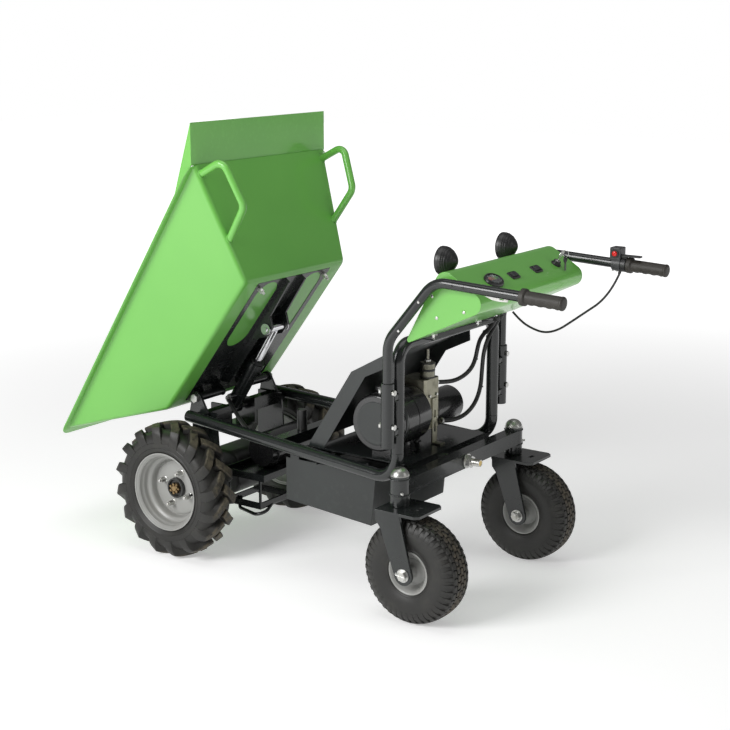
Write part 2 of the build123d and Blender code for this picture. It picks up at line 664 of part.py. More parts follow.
# ---- power pack -------------------------------------------------------------------------------------
def power_pack():
    """Oil tank and pump motor, end to end across the deck."""
    low, high = TANK_SPAN
    tank = rod(TANK_R, (TANK_X, low, TANK_Z), (TANK_X, high, TANK_Z))
    tank = fillet(tank.edges(), 6)
    seam = (low + high) / 2 - 18
    tank -= ring(TANK_R + 2, TANK_R - 1.5, (TANK_X, seam, TANK_Z), (TANK_X, seam + 3, TANK_Z))
    motor = rod(PUMP_MOTOR_R, (TANK_X, PUMP_MOTOR_SPAN[0], TANK_Z - 16), (TANK_X, PUMP_MOTOR_SPAN[1], TANK_Z - 16))
    motor = fillet(motor.edges(), 5)
    feet = block((TANK_X - 30, TANK_X + 30), (60, 84), (DECK_Z + SHEET, TANK_Z - TANK_R + 6))
    feet += block((TANK_X - 30, TANK_X + 30), (130, 154), (DECK_Z + SHEET, TANK_Z - TANK_R + 6))
    return [tank + feet, motor]


def pump_manifold():
    """Valve block between tank and motor, with its spool, solenoid and slotted foot strap."""
    valves = block((TANK_X - 52, TANK_X + 28), (-50, 20), (420, 560))
    valves = chamfer(valves.edges().filter_by(Axis.Z), 6)
    coil_x = TANK_X - 36
    coil = rod(20, (coil_x, -14, 560), (coil_x, -14, 604)) + rod(4, (coil_x, -14, 600), (coil_x, -14, 640))
    strap_x = TANK_X - 52
    strap = block((strap_x - 4, strap_x), (-34, -10), (DECK_Z + SHEET, 505))
    strap += block((strap_x - 30, strap_x), (-34, -10), (DECK_Z + SHEET, DECK_Z + SHEET + 4))
    for z in (410, 450):
        strap -= block((strap_x - 10, strap_x + 0.0), (-26, -18), (z, z + 20))
    return valves + coil + strap


# ---- rear beam and casters ---------------------------------------------------------------------------
def rear_beam():
    """Rocking beam: a square tube with a caster post at each end and a bush in the middle."""
    span = CASTER_Y
    x_low = POST_X - BEAM_DEPTH / 2 - 3
    beam = block((x_low, x_low + BEAM_DEPTH), (-span, span), (BEAM_Z - BEAM_HEIGHT / 2, BEAM_Z + BEAM_HEIGHT / 2))
    wall = BEAM_WALL
    beam -= block((x_low + wall, x_low + BEAM_DEPTH - wall), (-span, span),
                  (BEAM_Z - BEAM_HEIGHT / 2 + wall, BEAM_Z + BEAM_HEIGHT / 2 - wall))
    beam += rod(BEAM_BOLT_R + 7, (x_low, 0, BEAM_Z), (x_low + BEAM_DEPTH, 0, BEAM_Z))
    for side in (1, -1):
        y = side * CASTER_Y
        beam += rod(POST_R, (POST_X, y, POST_FOOT_Z), (POST_X, y, POST_FOOT_Z + POST_HEIGHT))
        beam -= rod(STEM_R + RUNNING, (POST_X, y, POST_FOOT_Z - 5), (POST_X, y, POST_FOOT_Z + POST_HEIGHT - 6))
    return beam - rod(BEAM_BOLT_R + RUNNING, (x_low - 30, 0, BEAM_Z), (x_low + BEAM_DEPTH + 30, 0, BEAM_Z))


def post_caps():
    """Domed caps on the caster posts."""
    caps = []
    for side in (1, -1):
        base = Vector(POST_X, side * CASTER_Y, POST_FOOT_Z + POST_HEIGHT)
        radius = (POST_R ** 2 + CAP_HEIGHT ** 2) / (2 * CAP_HEIGHT)
        ball = Pos(*(base + Vector(0, 0, CAP_HEIGHT - radius))) * Sphere(radius)
        caps.append(ball & block((base.X - 30, base.X + 30), (base.Y - 30, base.Y + 30), (base.Z, base.Z + 40)))
    return caps


def caster_fork(side):
    """Fork with its stem: a top plate, two slanting arms and holes for the swivel lock."""
    y = side * CASTER_Y
    half = FORK_GAP_HALF + FORK_PLATE
    low_z = FORK_TOP_Z - FORK_PLATE
    fork = block((CASTER_X - FORK_TAIL, POST_X + FORK_NOSE), (y - half, y + half), (low_z, FORK_TOP_Z))
    fork = chamfer(fork.edges().filter_by(Axis.Z).group_by(Axis.X)[0], FORK_CORNER)
    arm_outline = [(POST_X + 34, FORK_TOP_Z - 2), (POST_X - 38, FORK_TOP_Z - 2), (CASTER_X - 27, CASTER_AXLE_Z),
                   (CASTER_X + 26, CASTER_AXLE_Z - 6), (POST_X + 18, 253), (POST_X + 33, 272)]
    for low in (y - half, y + FORK_GAP_HALF):
        fork += side_profile(arm_outline, low, low + FORK_PLATE)
        fork += rod(27, (CASTER_X, low, CASTER_AXLE_Z), (CASTER_X, low + FORK_PLATE, CASTER_AXLE_Z))
    fork -= rod(CASTER_AXLE_R, (CASTER_X, y - 80, CASTER_AXLE_Z), (CASTER_X, y + 80, CASTER_AXLE_Z))
    fork += rod(POST_R - 2, (POST_X, y, FORK_TOP_Z), (POST_X, y, FORK_TOP_Z + 1.5))
    fork += rod(STEM_R, (POST_X, y, FORK_TOP_Z), (POST_X, y, POST_FOOT_Z + POST_HEIGHT - 8))
    slot_x = (POST_X - POST_R + CASTER_X - FORK_TAIL) / 2
    long_half, wide_half = LOCK_SLOT[0] / 2, LOCK_SLOT[1] / 2
    lock = block((slot_x - long_half, slot_x + long_half), (y - wide_half, y + wide_half), (low_z - 1, FORK_TOP_Z + 1))
    return fork - lock


def caster_tyre(side):
    """Pneumatic caster tyre with rounded shoulders."""
    half = CASTER_TYRE_WIDTH / 2
    rim = CASTER_RIM_WIDTH / 2
    inner = CASTER_FLANGE_R - 4
    outline = [(inner, -rim + 6), (inner + 8, -rim - 1), (CASTER_TYRE_R - 42, -half), (CASTER_TYRE_R - 20, -half + 3),
               (CASTER_TYRE_R - 6, -half + 15), (CASTER_TYRE_R, -half + 32), (CASTER_TYRE_R, half - 32),
               (CASTER_TYRE_R - 6, half - 15), (CASTER_TYRE_R - 20, half - 3), (CASTER_TYRE_R - 42, half),
               (inner + 8, rim + 1), (inner, rim - 6)]
    return revolved(outline, (CASTER_X, side * CASTER_Y, CASTER_AXLE_Z))


def caster_rim(side):
    """Pressed rim with a dished disc and a hub that turns on the axle."""
    half = CASTER_RIM_WIDTH / 2
    seat = CASTER_FLANGE_R - 4.3
    bore = CASTER_AXLE_R + RUNNING
    outline = [(bore, -46), (17, -46), (17, -20), (seat - 22, -12), (seat - 8, -half + 8), (seat - 2.5, -half + 4),
               (CASTER_FLANGE_R, -half - 1), (CASTER_FLANGE_R, -half + 1.5), (seat, -half + 6.2), (seat, half - 6.2),
               (CASTER_FLANGE_R, half - 1.5), (CASTER_FLANGE_R, half + 1), (seat - 2.5, half - 4), (seat - 8, half - 8),
               (seat - 22, 12), (17, 20), (17, 46), (bore, 46)]
    return revolved(outline, (CASTER_X, side * CASTER_Y, CASTER_AXLE_Z))


def caster_axle(side):
    """Axle bolt with its head, washers and nut outside the fork."""
    y = side * CASTER_Y
    half = FORK_GAP_HALF + FORK_PLATE
    axle = rod(CASTER_AXLE_R, (CASTER_X, y - half - 16, CASTER_AXLE_Z), (CASTER_X, y + half + 2, CASTER_AXLE_Z))
    for place, thick, radius in ((half, 2.5, 17.0), (-half - 2.5, 2.5, 17.0)):
        axle += rod(radius, (CASTER_X, y + place, CASTER_AXLE_Z), (CASTER_X, y + place + thick, CASTER_AXLE_Z))
    plane = Plane(origin=(CASTER_X, y + half + 2.5, CASTER_AXLE_Z), z_dir=(0, 1, 0))
    axle += extrude(plane * RegularPolygon(14, 6), 8)
    plane = Plane(origin=(CASTER_X, y - half - 2.5, CASTER_AXLE_Z), z_dir=(0, -1, 0))
    return axle + extrude(plane * RegularPolygon(14, 6), 11)


# ---- drive wheels ---------------------------------------------------------------------------------
def drive_tyre(side):
    """Outer shape of the lugged drive tyre."""
    half = DRIVE_TYRE_WIDTH / 2
    rim = DRIVE_RIM_WIDTH / 2
    inner = DRIVE_FLANGE_R - 11
    outline = [(inner, -rim + 8.9), (inner + 12, -rim + 2.9), (inner + 15, -rim - 1), (150, -half),
               (172, -half + 1), (187, -half + 6), (DRIVE_TYRE_R, -half + 18), (DRIVE_TYRE_R, half - 18), (187, half - 6), (172, half - 1),
               (150, half), (inner + 15, rim + 1), (inner + 12, rim - 2.9), (inner, rim - 8.9)]
    return revolved(outline, (0, side * DRIVE_TRACK_HALF, AXLE_Z))


def drive_rim(side):
    """Deep steel rim: stepped well, flat disc on the inboard side and four bolt holes."""
    half = DRIVE_RIM_WIDTH / 2
    seat = DRIVE_FLANGE_R - 11.3
    outline = [(32, -14), (70, -14), (78, -22), (seat - 14, -30), (seat - 4, -half + 6), (DRIVE_FLANGE_R - 3, -half - 1),
               (DRIVE_FLANGE_R, -half), (DRIVE_FLANGE_R, -half + 3), (seat, -half + 8.4), (seat, half - 8.4),
               (DRIVE_FLANGE_R, half - 3), (DRIVE_FLANGE_R, half), (DRIVE_FLANGE_R - 3, half + 1), (seat - 4, half - 6),
               (seat - 6, 14), (seat - 17, 8), (seat - 18, -12), (seat - 26, -10), (32, -10)]
    rim = revolved(outline, (0, DRIVE_TRACK_HALF, AXLE_Z))
    for bolt in range(LUG_COUNT):
        x, z = lug_place(bolt)
        rim -= rod(5.2, (x, DRIVE_TRACK_HALF - 30, z), (x, DRIVE_TRACK_HALF + 10, z))
    return rim if side == 1 else mirrored(rim)


def lug_place(index):
    """Centre of one lug bolt."""
    angle = radians(20 + 360 / LUG_COUNT * index)
    return LUG_PCD_R * cos(angle), AXLE_Z + LUG_PCD_R * sin(angle)


def drive_hub(side):
    """Hub on the axle shaft with its flange, castle nut and the lug bolts in their sleeves."""
    y = DRIVE_TRACK_HALF
    floor = y + HUB_FACE - HUB_RECESS
    hub = rod(64, (0, y - 22, AXLE_Z), (0, y - 14.1, AXLE_Z)) + rod(30, (0, y - 44, AXLE_Z), (0, y + HUB_FACE, AXLE_Z))
    hub -= rod(24, (0, floor, AXLE_Z), (0, y + HUB_FACE + 1, AXLE_Z))
    hub -= rod(AXLE_SHAFT_R + RUNNING, (0, y - 60, AXLE_Z), (0, floor - 0.5, AXLE_Z))
    nut = Plane(origin=(0, floor, AXLE_Z), z_dir=(0, 1, 0)) * RegularPolygon(17, 6)
    hub += extrude(nut, 14)
    for bolt in range(LUG_COUNT):
        x, z = lug_place(bolt)
        hub += rod(5, (x, y - 20, z), (x, y + 18, z)) + rod(9, (x, y - 9.9, z), (x, y + 12, z))
    return hub if side == 1 else mirrored(hub)


# ---- tub -------------------------------------------------------------------------------------------
def tub_plane(x=0.0, y=0.0, z=0.0):
    """Plane in the tub's own frame, turned to the tipped pose about the hinge."""
    tip = radians(TIP_ANGLE)
    forward = Vector(cos(tip), 0, -sin(tip))
    upward = Vector(sin(tip), 0, cos(tip))
    origin = Vector(HINGE_X, y, HINGE_Z) + forward * x + upward * z
    return Plane(origin=origin, x_dir=forward, z_dir=upward)


def side_half(z):
    """Half width of the tub at a height above its hinge."""
    return TUB_FLOOR_HALF + (z - TUB_FLOOR_Z) * TUB_SIDE_SLOPE


def polyhedron(faces):
    """Closed solid from flat faces given as lists of points."""
    return Solid(Shell([Face(Wire.make_polygon([Vector(*p) for p in face], close=True)) for face in faces]))


def hexahedron(bottom, top):
    """Solid between two four-cornered faces listed in the same order."""
    sides = [[bottom[i], bottom[(i + 1) % 4], top[(i + 1) % 4], top[i]] for i in range(4)]
    return polyhedron([bottom[::-1], top] + sides)


def tub_corners():
    """Floor corners and rim corners of the tub's outer face, in the tub's frame."""
    floor = TUB_FLOOR_HALF
    rear_half, lip_half = side_half(TUB_REAR_TOP[1]), side_half(TUB_LIP[1])
    bottom = [(TUB_FLOOR_FRONT, floor, TUB_FLOOR_Z), (TUB_FLOOR_REAR, floor, TUB_FLOOR_Z),
              (TUB_FLOOR_REAR, -floor, TUB_FLOOR_Z), (TUB_FLOOR_FRONT, -floor, TUB_FLOOR_Z)]
    top = [(TUB_LIP[0], lip_half, TUB_LIP[1]), (TUB_REAR_TOP[0], rear_half, TUB_REAR_TOP[1]),
           (TUB_REAR_TOP[0], -rear_half, TUB_REAR_TOP[1]), (TUB_LIP[0], -lip_half, TUB_LIP[1])]
    return bottom, top


def rim_loop(grow):
    """Rim outline in the plane of the rim, moved outwards by a distance."""
    _, (lip, rear, rear_far, lip_far) = tub_corners()
    along = Vector(lip[0] - rear[0], 0, lip[2] - rear[2]).normalized() * grow
    return [Vector(lip[0], lip[1] + grow, lip[2]) + along, Vector(rear[0], rear[1] + grow, rear[2]),
            Vector(rear_far[0], rear_far[1] - grow, rear_far[2]),
            Vector(lip_far[0], lip_far[1] - grow, lip_far[2]) + along]


def tub_shell():
    """Sheet tub: flat floor, flared sides and ends, and a folded flange round the rim."""
    bottom, top = tub_corners()
    outer = hexahedron(bottom, top)
    opening = outer.faces().sort_by(Axis.Z)[-1]
    shell = offset(outer, amount=-TUB_SHEET, openings=[opening])
    slab = hexahedron(rim_loop(FLANGE_WIDTH), [p + Vector(0, 0, TUB_SHEET) for p in rim_loop(FLANGE_WIDTH)])
    hole_low = [p - Vector(0, 0, 5) for p in rim_loop(-TUB_SHEET)]
    slab -= hexahedron(hole_low, [p + Vector(0, 0, 10) for p in rim_loop(-TUB_SHEET)])
    return tub_plane().location * (shell + slab)


def tub_fence():
    """Upright fence above the rear wall with a folded gusset at each side."""
    x0, z0 = TUB_REAR_TOP
    half = side_half(z0)
    base_z = z0 + TUB_SHEET + 0.05
    x1, z1 = x0 - FENCE_RUN, z0 + FENCE_RISE
    outline = [(x0, base_z), (x0 + TUB_SHEET * 1.5, base_z), (x1 + TUB_SHEET, z1), (x1, z1)]
    wall = side_profile(outline, -half - 9, half + 9)
    gusset_outline = [(x0, base_z), (x1, z1), (x0 + 126, z0 - 126 * 0.058 + base_z - z0)]
    gusset = side_profile(gusset_outline, half + 9 - TUB_SHEET, half + 9)
    return tub_plane().location * (wall + gusset + mirrored(gusset))


def wall_point(along, out, y):
    """Point beside the rear wall: distance up the wall from its foot, and distance out from it."""
    dx, dz = TUB_REAR_TOP[0] - TUB_FLOOR_REAR, TUB_REAR_TOP[1] - TUB_FLOOR_Z
    up = Vector(dx, 0, dz).normalized()
    outward = Vector(-up.Z, 0, up.X)
    return Vector(TUB_FLOOR_REAR, y, TUB_FLOOR_Z) + up * along + outward * out


def tub_handles():
    """Bent loops on the rear wall for tipping the tub by hand."""
    loops = []
    for side in (1, -1):
        knots = []
        for along, out in ((312, 0.1), (322, 88), (190, 92), (124, 0.1)):
            knot = wall_point(along, out, 0)
            foot = wall_point(along, 0, 0)
            knots.append(knot + Vector(0, side * (side_half(foot.Z) - TUB_HANDLE_R - TUB_HANDLE_EDGE), 0))
        loop = pipe(knots, [26, 30], TUB_HANDLE_R)
        far = [wall_point(60, 0.1, 0), wall_point(400, 0.1, 0), wall_point(400, -60, 0), wall_point(60, -60, 0)]
        cut = side_profile([(p.X, p.Z) for p in far], *sorted((side * 150, side * 330)))
        loops.append(tub_plane().location * (loop - cut))
    return loops


def tub_subframe():
    """Plate under the tub floor with ribs, hinge tubes and the lugs for the lift rod."""
    top = TUB_FLOOR_Z
    low = top - SUBFRAME_PLATE
    plate = block((SUBFRAME_REAR, SUBFRAME_FRONT), (-SUBFRAME_HALF, SUBFRAME_HALF), (low, top))
    slot = extrude(Pos(0, 0, low - 1) * SlotOverall(250, 88), SUBFRAME_PLATE + 2)
    for side in (1, -1):
        plate -= slot.moved(Pos(-300, side * 100, 0))
    eye_x, eye_z = LIFT_EYE
    rib_outline = [(-425, low), (-425, low - 14), (eye_x - 40, low - 20), (eye_x - 18, eye_z - 14),
                   (eye_x + 18, eye_z - 14), (eye_x + 44, low - 26), (-30, low - 26), (-14, low)]
    for side in (1, -1):
        inner = side * (RIB_Y - RIB_THICK / 2)
        rib = side_profile(rib_outline, *sorted((inner, inner + side * RIB_THICK)))
        plate += rib
        y0, y1 = HINGE_TUBE_SPAN
        tube = ring(HINGE_TUBE_R, HINGE_PIN_R + RUNNING, (0, side * y0, 0), (0, side * y1, 0))
        plate += tube
        for y in (y0 + 8, y1 - 26):
            web = side_profile([(-26, low + 1), (24, low + 1), (10, 4), (-10, 4)], side * y - 3, side * y + 3)
            plate += web - rod(HINGE_TUBE_R - 1, (0, side * (y - 9), 0), (0, side * (y + 9), 0))
    plate -= rod(LUG_HOLE_R, (eye_x, -60, eye_z), (eye_x, 60, eye_z))
    return tub_plane().location * plate


def tub_bolts():
    """Bolts that hold the subframe to the floor, their heads below it."""
    low = TUB_FLOOR_Z - SUBFRAME_PLATE
    bolts = []
    for x in (SUBFRAME_REAR + 22, SUBFRAME_FRONT - 11):
        for y in (-SUBFRAME_HALF + 18, SUBFRAME_HALF - 18):
            head = extrude(Pos(x, y, low - 14) * RegularPolygon(8, 6), 14)
            bolts.append(tub_plane().location * (head + rod(4, (x, y, low - 22), (x, y, low - 14))))
    return bolts


# ---- lift cylinder -------------------------------------------------------------------------------
def lift_ends():
    """Base pivot and rod eye of the lift cylinder in the tipped pose."""
    eye = tub_plane(LIFT_EYE[0], 0, LIFT_EYE[1]).origin
    return Vector(LIFT_BASE[0], 0, LIFT_BASE[1]), eye


def lift_barrel():
    """Cylinder barrel with its base eye, gland nut and side port."""
    base, eye = lift_ends()
    along = (eye - base).normalized()
    barrel = rod(BARREL_R, base + along * 20, base + along * BARREL_LENGTH)
    barrel += rod(BARREL_R + 3, base + along * (BARREL_LENGTH - 24), base + along * (BARREL_LENGTH - 4))
    barrel += rod(16, base - Vector(0, 34, 0), base + Vector(0, 34, 0)) + rod(12, base, base + along * 24)
    port = base + along * PORT_ALONG
    barrel += rod(8, port + Vector(0, BARREL_R - 3, 0), port + Vector(0, PORT_Y, 0))
    barrel -= rod(HINGE_PIN_R + RUNNING, base - Vector(0, 60, 0), base + Vector(0, 60, 0))
    return barrel - rod(ROD_R + RUNNING, base + along * 60, eye)


def lift_rod():
    """Chrome rod, piston end inside the barrel, with its cross boss and pin."""
    base, eye = lift_ends()
    along = (eye - base).normalized()
    bar = rod(ROD_R, base + along * 122, eye - along * 8)
    boss = rod(EYE_BOSS_R, eye - Vector(0, 30, 0), eye + Vector(0, 30, 0))
    pin = rod(EYE_PIN_R, eye - Vector(0, 47, 0), eye + Vector(0, 47, 0))
    for side in (1, -1):
        pin += rod(LUG_HOLE_R + 4, eye + Vector(0, side * 41.5, 0), eye + Vector(0, side * 44, 0))
    return bar + boss + pin


# ---- fasteners and cables ------------------------------------------------------------------------------
def hinge_pins():
    """Two tub hinge pins and the lift cylinder's base pin."""
    pins = []
    for side in (1, -1):
        pins.append(hexagon_bolt(HINGE_PIN_R, (HINGE_X, side * 165, HINGE_Z), (HINGE_X, side * 42, HINGE_Z), 13))
    x, z = LIFT_BASE
    outer = SADDLE_HALF + SADDLE_WALL
    pins.append(hexagon_bolt(HINGE_PIN_R, (x, outer + 0.2, z), (x, -outer - 6, z), 13))
    return pins


def frame_bolts():
    """Bolts of the handle sockets and the console feet."""
    bolts = []
    for side in (1, -1):
        for z in (500.0, 590.0):
            y = side * HANDLE_Y
            start, end = (HOOP_X - SOCKET_R - 0.2, y, z), (HOOP_X + SOCKET_R + 0.2, y, z)
            for (x, _, _), away in ((start, -1), (end, 1)):
                head = Plane(origin=(x, y, z), z_dir=(away, 0, 0)) * RegularPolygon(8, 6)
                bolts.append(extrude(head, 6))
        nut = Plane(origin=(HOOP_X - 30, side * 110, LEDGE_Z + 4), z_dir=(0, 0, 1)) * RegularPolygon(8, 6)
        foot, top = (HOOP_X - 30, side * 110, LEDGE_Z + 6), (HOOP_X - 30, side * 110, LEDGE_Z + 16)
        bolts.append(extrude(nut, 6) + rod(4, foot, top))
    return bolts


def beam_bolt():
    """Long bolt that the rear beam rocks on, with washers and nuts at its end."""
    bolt = rod(BEAM_BOLT_R, (BEAM_BOLT_END_X, 0, BEAM_Z), (DECK_REAR_X + 52, 0, BEAM_Z))
    face = POST_X - BEAM_DEPTH / 2 - 3
    bolt += rod(20, (face - 3.3, 0, BEAM_Z), (face - 0.3, 0, BEAM_Z))
    nut = Plane(origin=(face - 3.3, 0, BEAM_Z), z_dir=(-1, 0, 0)) * RegularPolygon(17, 6)
    bolt += extrude(nut, 14)
    head = Plane(origin=(DECK_REAR_X + 40.2, 0, BEAM_Z), z_dir=(1, 0, 0)) * RegularPolygon(17, 6)
    return bolt + extrude(head, 10)


def cables():
    """Throttle cable, lift hose with its ferrule and the two looms that climb to the console."""
    start = Vector(*LIFT_HOSE_ROUTE[0])
    run = (Vector(*LIFT_HOSE_ROUTE[1]) - start).normalized() * FERRULE_LENGTH
    lift = hose(LIFT_HOSE_ROUTE, HOSE_R) + rod(FERRULE_R, start, start + run)
    return hose(THROTTLE_ROUTE, 3.0), [lift] + [hose(route, HOSE_R) for route in (UPPER_LOOM_ROUTE, LOWER_LOOM_ROUTE)]


def build():
    """Make every node."""
    rail = pipe(rail_path(), [RAIL_BEND_R], RAIL_R, TUBE_WALL)
    keep("rail_left", rail)
    keep("rail_right", mirrored(rail))
    keep("rear_hoop", rear_hoop())
    keep("front_frame", front_frame())
    keep("frame_crossbars", *frame_crossbars().solids())
    keep("deck_plate", deck_plate())
    keep("hood_cover", hood_cover())
    keep("battery_box", battery_box())
    keep("batteries", *batteries())
    keep("motor_tray", motor_tray())
    keep("transaxle", transaxle())
    keep("drive_motor", drive_motor())
    keep("power_pack", *power_pack())
    keep("pump_manifold", pump_manifold())
    keep("tub_stop", tub_stop())
    for name, side in (("left", 1), ("right", -1)):
        keep(f"handle_{name}", pipe(handle_points(side), [80, 72], HANDLE_R, TUBE_WALL))
    keep("handle_grips", handle_grip(1), handle_grip(-1))
    gauge = gauge_solid()
    lock = key_switch()
    bezels = [rocker_bezel(y) for y in ROCKER_Y]
    holes = [extrude(panel_plane(y, out=-20) * Rectangle(*ROCKER_BODY), 30) for y in ROCKER_Y]
    holes.append(extrude(panel_plane(GAUGE_Y, out=-20) * Ellipse(*GAUGE_BODY), 30))
    holes.append(extrude(panel_plane(KEY_Y, out=-20) * Circle(9), 30))
    keep("console_shell", console_shell(holes))
    keep("console_ends", *console_ends())
    keep("battery_gauge", gauge)
    keep("key_switch", lock, *bezels)
    for name, y in zip(("front", "rear"), ROCKER_Y):
        keep(f"rocker_{name}", rocker_paddle(y))
    keep("ignition_key", *ignition_key())
    keep("spare_key", spare_key())
    keep("switch_box", switch_box())
    keep("stop_button", stop_button())
    keep("throttle_lever", throttle_lever())
    keep("brake_lever", brake_lever())
    keep("hinge_pins", *hinge_pins(), brake_pin(), beam_bolt())
    keep("light_brackets", *light_brackets())
    keep("frame_bolts", *frame_bolts())
    throttle, hoses = cables()
    keep("throttle_cable", throttle)
    keep("hydraulic_hoses", *hoses)
    keep("rear_beam", rear_beam())
    keep("post_caps", *post_caps())
    keep("tub_shell", tub_shell())
    keep("tub_fence", tub_fence())
    keep("tub_handles", *tub_handles())
    keep("tub_subframe", tub_subframe())
    keep("tub_bolts", *tub_bolts())
    keep("lift_barrel", lift_barrel())
    keep("lift_rod", lift_rod())
    for name, side in (("left", 1), ("right", -1)):
        keep(f"drive_tyre_{name}", drive_tyre(side))
        keep(f"drive_rim_{name}", drive_rim(side))
        keep(f"drive_hub_{name}", drive_hub(side))
        keep(f"caster_fork_{name}", caster_fork(side))
        keep(f"caster_tyre_{name}", caster_tyre(side))
        keep(f"caster_rim_{name}", caster_rim(side))
        keep(f"caster_axle_{name}", caster_axle(side))
        keep(f"work_light_{name}", work_light(side))


build()
os.makedirs("parts", exist_ok=True)
for node, shape in PARTS.items():
    export_step(shape, f"parts/{node}.step")
base_pivot, rod_eye = lift_ends()
print("nodes", len(PARTS), "lift angle", degrees(atan2(rod_eye.Z - base_pivot.Z, rod_eye.X - base_pivot.X)))
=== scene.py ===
"""Looks of a battery power wheelbarrow with a hydraulic tipping tub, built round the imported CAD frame.

Frame: +X forward (the end the tub tips over), +Y the machine's left, +Z up; every length is in metres.
Each sub-assembly is a class whose fields hold its sizes and whose methods build and dress its pieces.
Each finish is a small class that makes one node material.
"""

import json  # noqa: E402
import logging  # noqa: E402
from dataclasses import dataclass, field  # noqa: E402
from enum import Enum  # noqa: E402
from math import cos, hypot, pi, radians, sin  # noqa: E402
from typing import Sequence  # noqa: E402

import bmesh  # noqa: E402
import bpy  # noqa: E402
import numpy as np  # noqa: E402
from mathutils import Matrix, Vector  # noqa: E402

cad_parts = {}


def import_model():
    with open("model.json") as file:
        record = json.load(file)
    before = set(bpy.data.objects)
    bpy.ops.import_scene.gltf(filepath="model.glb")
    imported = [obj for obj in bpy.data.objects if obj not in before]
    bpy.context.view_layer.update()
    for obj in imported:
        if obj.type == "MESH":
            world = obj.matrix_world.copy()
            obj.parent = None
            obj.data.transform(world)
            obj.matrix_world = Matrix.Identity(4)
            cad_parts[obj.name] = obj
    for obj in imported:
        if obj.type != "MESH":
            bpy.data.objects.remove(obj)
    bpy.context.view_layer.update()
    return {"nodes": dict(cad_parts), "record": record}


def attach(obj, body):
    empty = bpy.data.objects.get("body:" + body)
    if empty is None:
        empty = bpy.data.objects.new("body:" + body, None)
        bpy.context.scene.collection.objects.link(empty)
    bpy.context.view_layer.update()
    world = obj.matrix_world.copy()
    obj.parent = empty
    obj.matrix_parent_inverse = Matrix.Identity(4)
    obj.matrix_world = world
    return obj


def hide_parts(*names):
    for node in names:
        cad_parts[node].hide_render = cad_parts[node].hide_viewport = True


LOG = logging.getLogger("power_wheelbarrow")
MM = 0.001
Point = Sequence[float]


class Side(Enum):
    """The machine's left and right sides, as the sign of Y."""

    LEFT = 1
    RIGHT = -1

    @property
    def word(self) -> str:
        """The word used in node and body names."""
        return self.name.lower()


class Lay(Enum):
    """How the loops of a patch are closed."""

    OPEN = 0
    ROUND = 1


# ---- surfaces -------------------------------------------------------------------------------------
@dataclass
class Patch:
    """Points and faces of one surface, as whole arrays."""

    points: np.ndarray
    faces: list[np.ndarray]

    def __add__(self, other: "Patch") -> "Patch":
        """Both patches as one."""
        shift = len(self.points)
        return Patch(np.vstack([self.points, other.points]), self.faces + [f + shift for f in other.faces])

    def placed(self, origin: Point, x_dir: Point, y_dir: Point, z_dir: Point) -> "Patch":
        """The patch carried into a frame: origin + x*x_dir + y*y_dir + z*z_dir."""
        turn = np.array([x_dir, y_dir, z_dir], float)
        return Patch(self.points @ turn + np.asarray(origin, float), self.faces)

    def shifted(self, step: Point) -> "Patch":
        """The patch moved by a step."""
        return Patch(self.points + np.asarray(step, float), self.faces)

def together(patches: Sequence[Patch]) -> Patch:
    """Several patches as one.

    Args:
        patches: the patches to join.

    Returns:
        One patch whose index arrays are shifted by the points that come before.
    """
    shifts = np.cumsum([0] + [len(p.points) for p in patches[:-1]])
    faces = [f + s for p, s in zip(patches, shifts) for f in p.faces]
    return Patch(np.vstack([p.points for p in patches]), faces)


def grid(points: np.ndarray, along_u: Lay = Lay.OPEN, along_v: Lay = Lay.OPEN, cap: bool = False) -> Patch:
    """Quads over a grid of points.

    Face (i, j) joins points (i, j), (i+1, j), (i+1, j+1) and (i, j+1), counted round where a direction is closed.

    Args:
        points: array of shape (nu, nv, 3).
        along_u: whether the last row joins the first.
        along_v: whether the last column joins the first.
        cap: closes the first and last rows with a fan to their middle.

    Returns:
        The patch.
    """
    nu, nv = points.shape[:2]
    index = np.arange(nu * nv).reshape(nu, nv)
    rows = index if along_u is Lay.ROUND else index[:-1]
    after = np.roll(index, -1, 0) if along_u is Lay.ROUND else index[1:]
    if along_v is Lay.ROUND:
        quads = np.stack([rows, after, np.roll(after, -1, 1), np.roll(rows, -1, 1)], -1)
    else:
        quads = np.stack([rows[:, :-1], after[:, :-1], after[:, 1:], rows[:, 1:]], -1)
    patch = Patch(points.reshape(-1, 3), [quads.reshape(-1, 4)])
    if cap:
        for ring, turn in ((0, 1), (nu - 1, -1)):
            middle = points[ring].mean(0)
            edge = index[ring][::turn]
            hub = np.full(nv, nu * nv)
            fan = np.stack([hub, edge, np.roll(edge, -1)], -1)
            local = np.vstack([patch.points, middle])
            fan[:, 0] = len(patch.points)
            patch = Patch(local, patch.faces + [fan])
    return patch


def turned(profile: Sequence[Point], centre: Point, axis: Point = (0, 1, 0), steps: int = 96) -> Patch:
    """A profile turned about an axle: centre + r*(cos a*e1 + sin a*e2) + s*axis for each (r, s).

    Args:
        profile: points of (radius, distance along the axle); radius 0 at an end closes a pole.
        centre: point on the axle where s is 0.
        axis: direction of the axle.
        steps: divisions of the full turn.

    Returns:
        The patch.
    """
    prof = np.asarray(profile, float)
    along, first, second = triad(axis)
    angle = np.linspace(0, 2 * pi, steps, endpoint=False)
    spoke = np.cos(angle)[:, None] * first + np.sin(angle)[:, None] * second
    points = np.asarray(centre, float) + prof[None, :, :1] * spoke[:, None, :] + prof[None, :, 1:] * along
    return grid(points, along_u=Lay.ROUND)


def triad(direction: Point) -> tuple[np.ndarray, np.ndarray, np.ndarray]:
    """A unit direction and two unit directions square to it."""
    along = np.asarray(direction, float)
    along = along / np.linalg.norm(along)
    helper = np.array([0, 0, 1.0]) if abs(along[2]) < 0.9 else np.array([1.0, 0, 0])
    first = np.cross(helper, along)
    first /= np.linalg.norm(first)
    return along, first, np.cross(along, first)


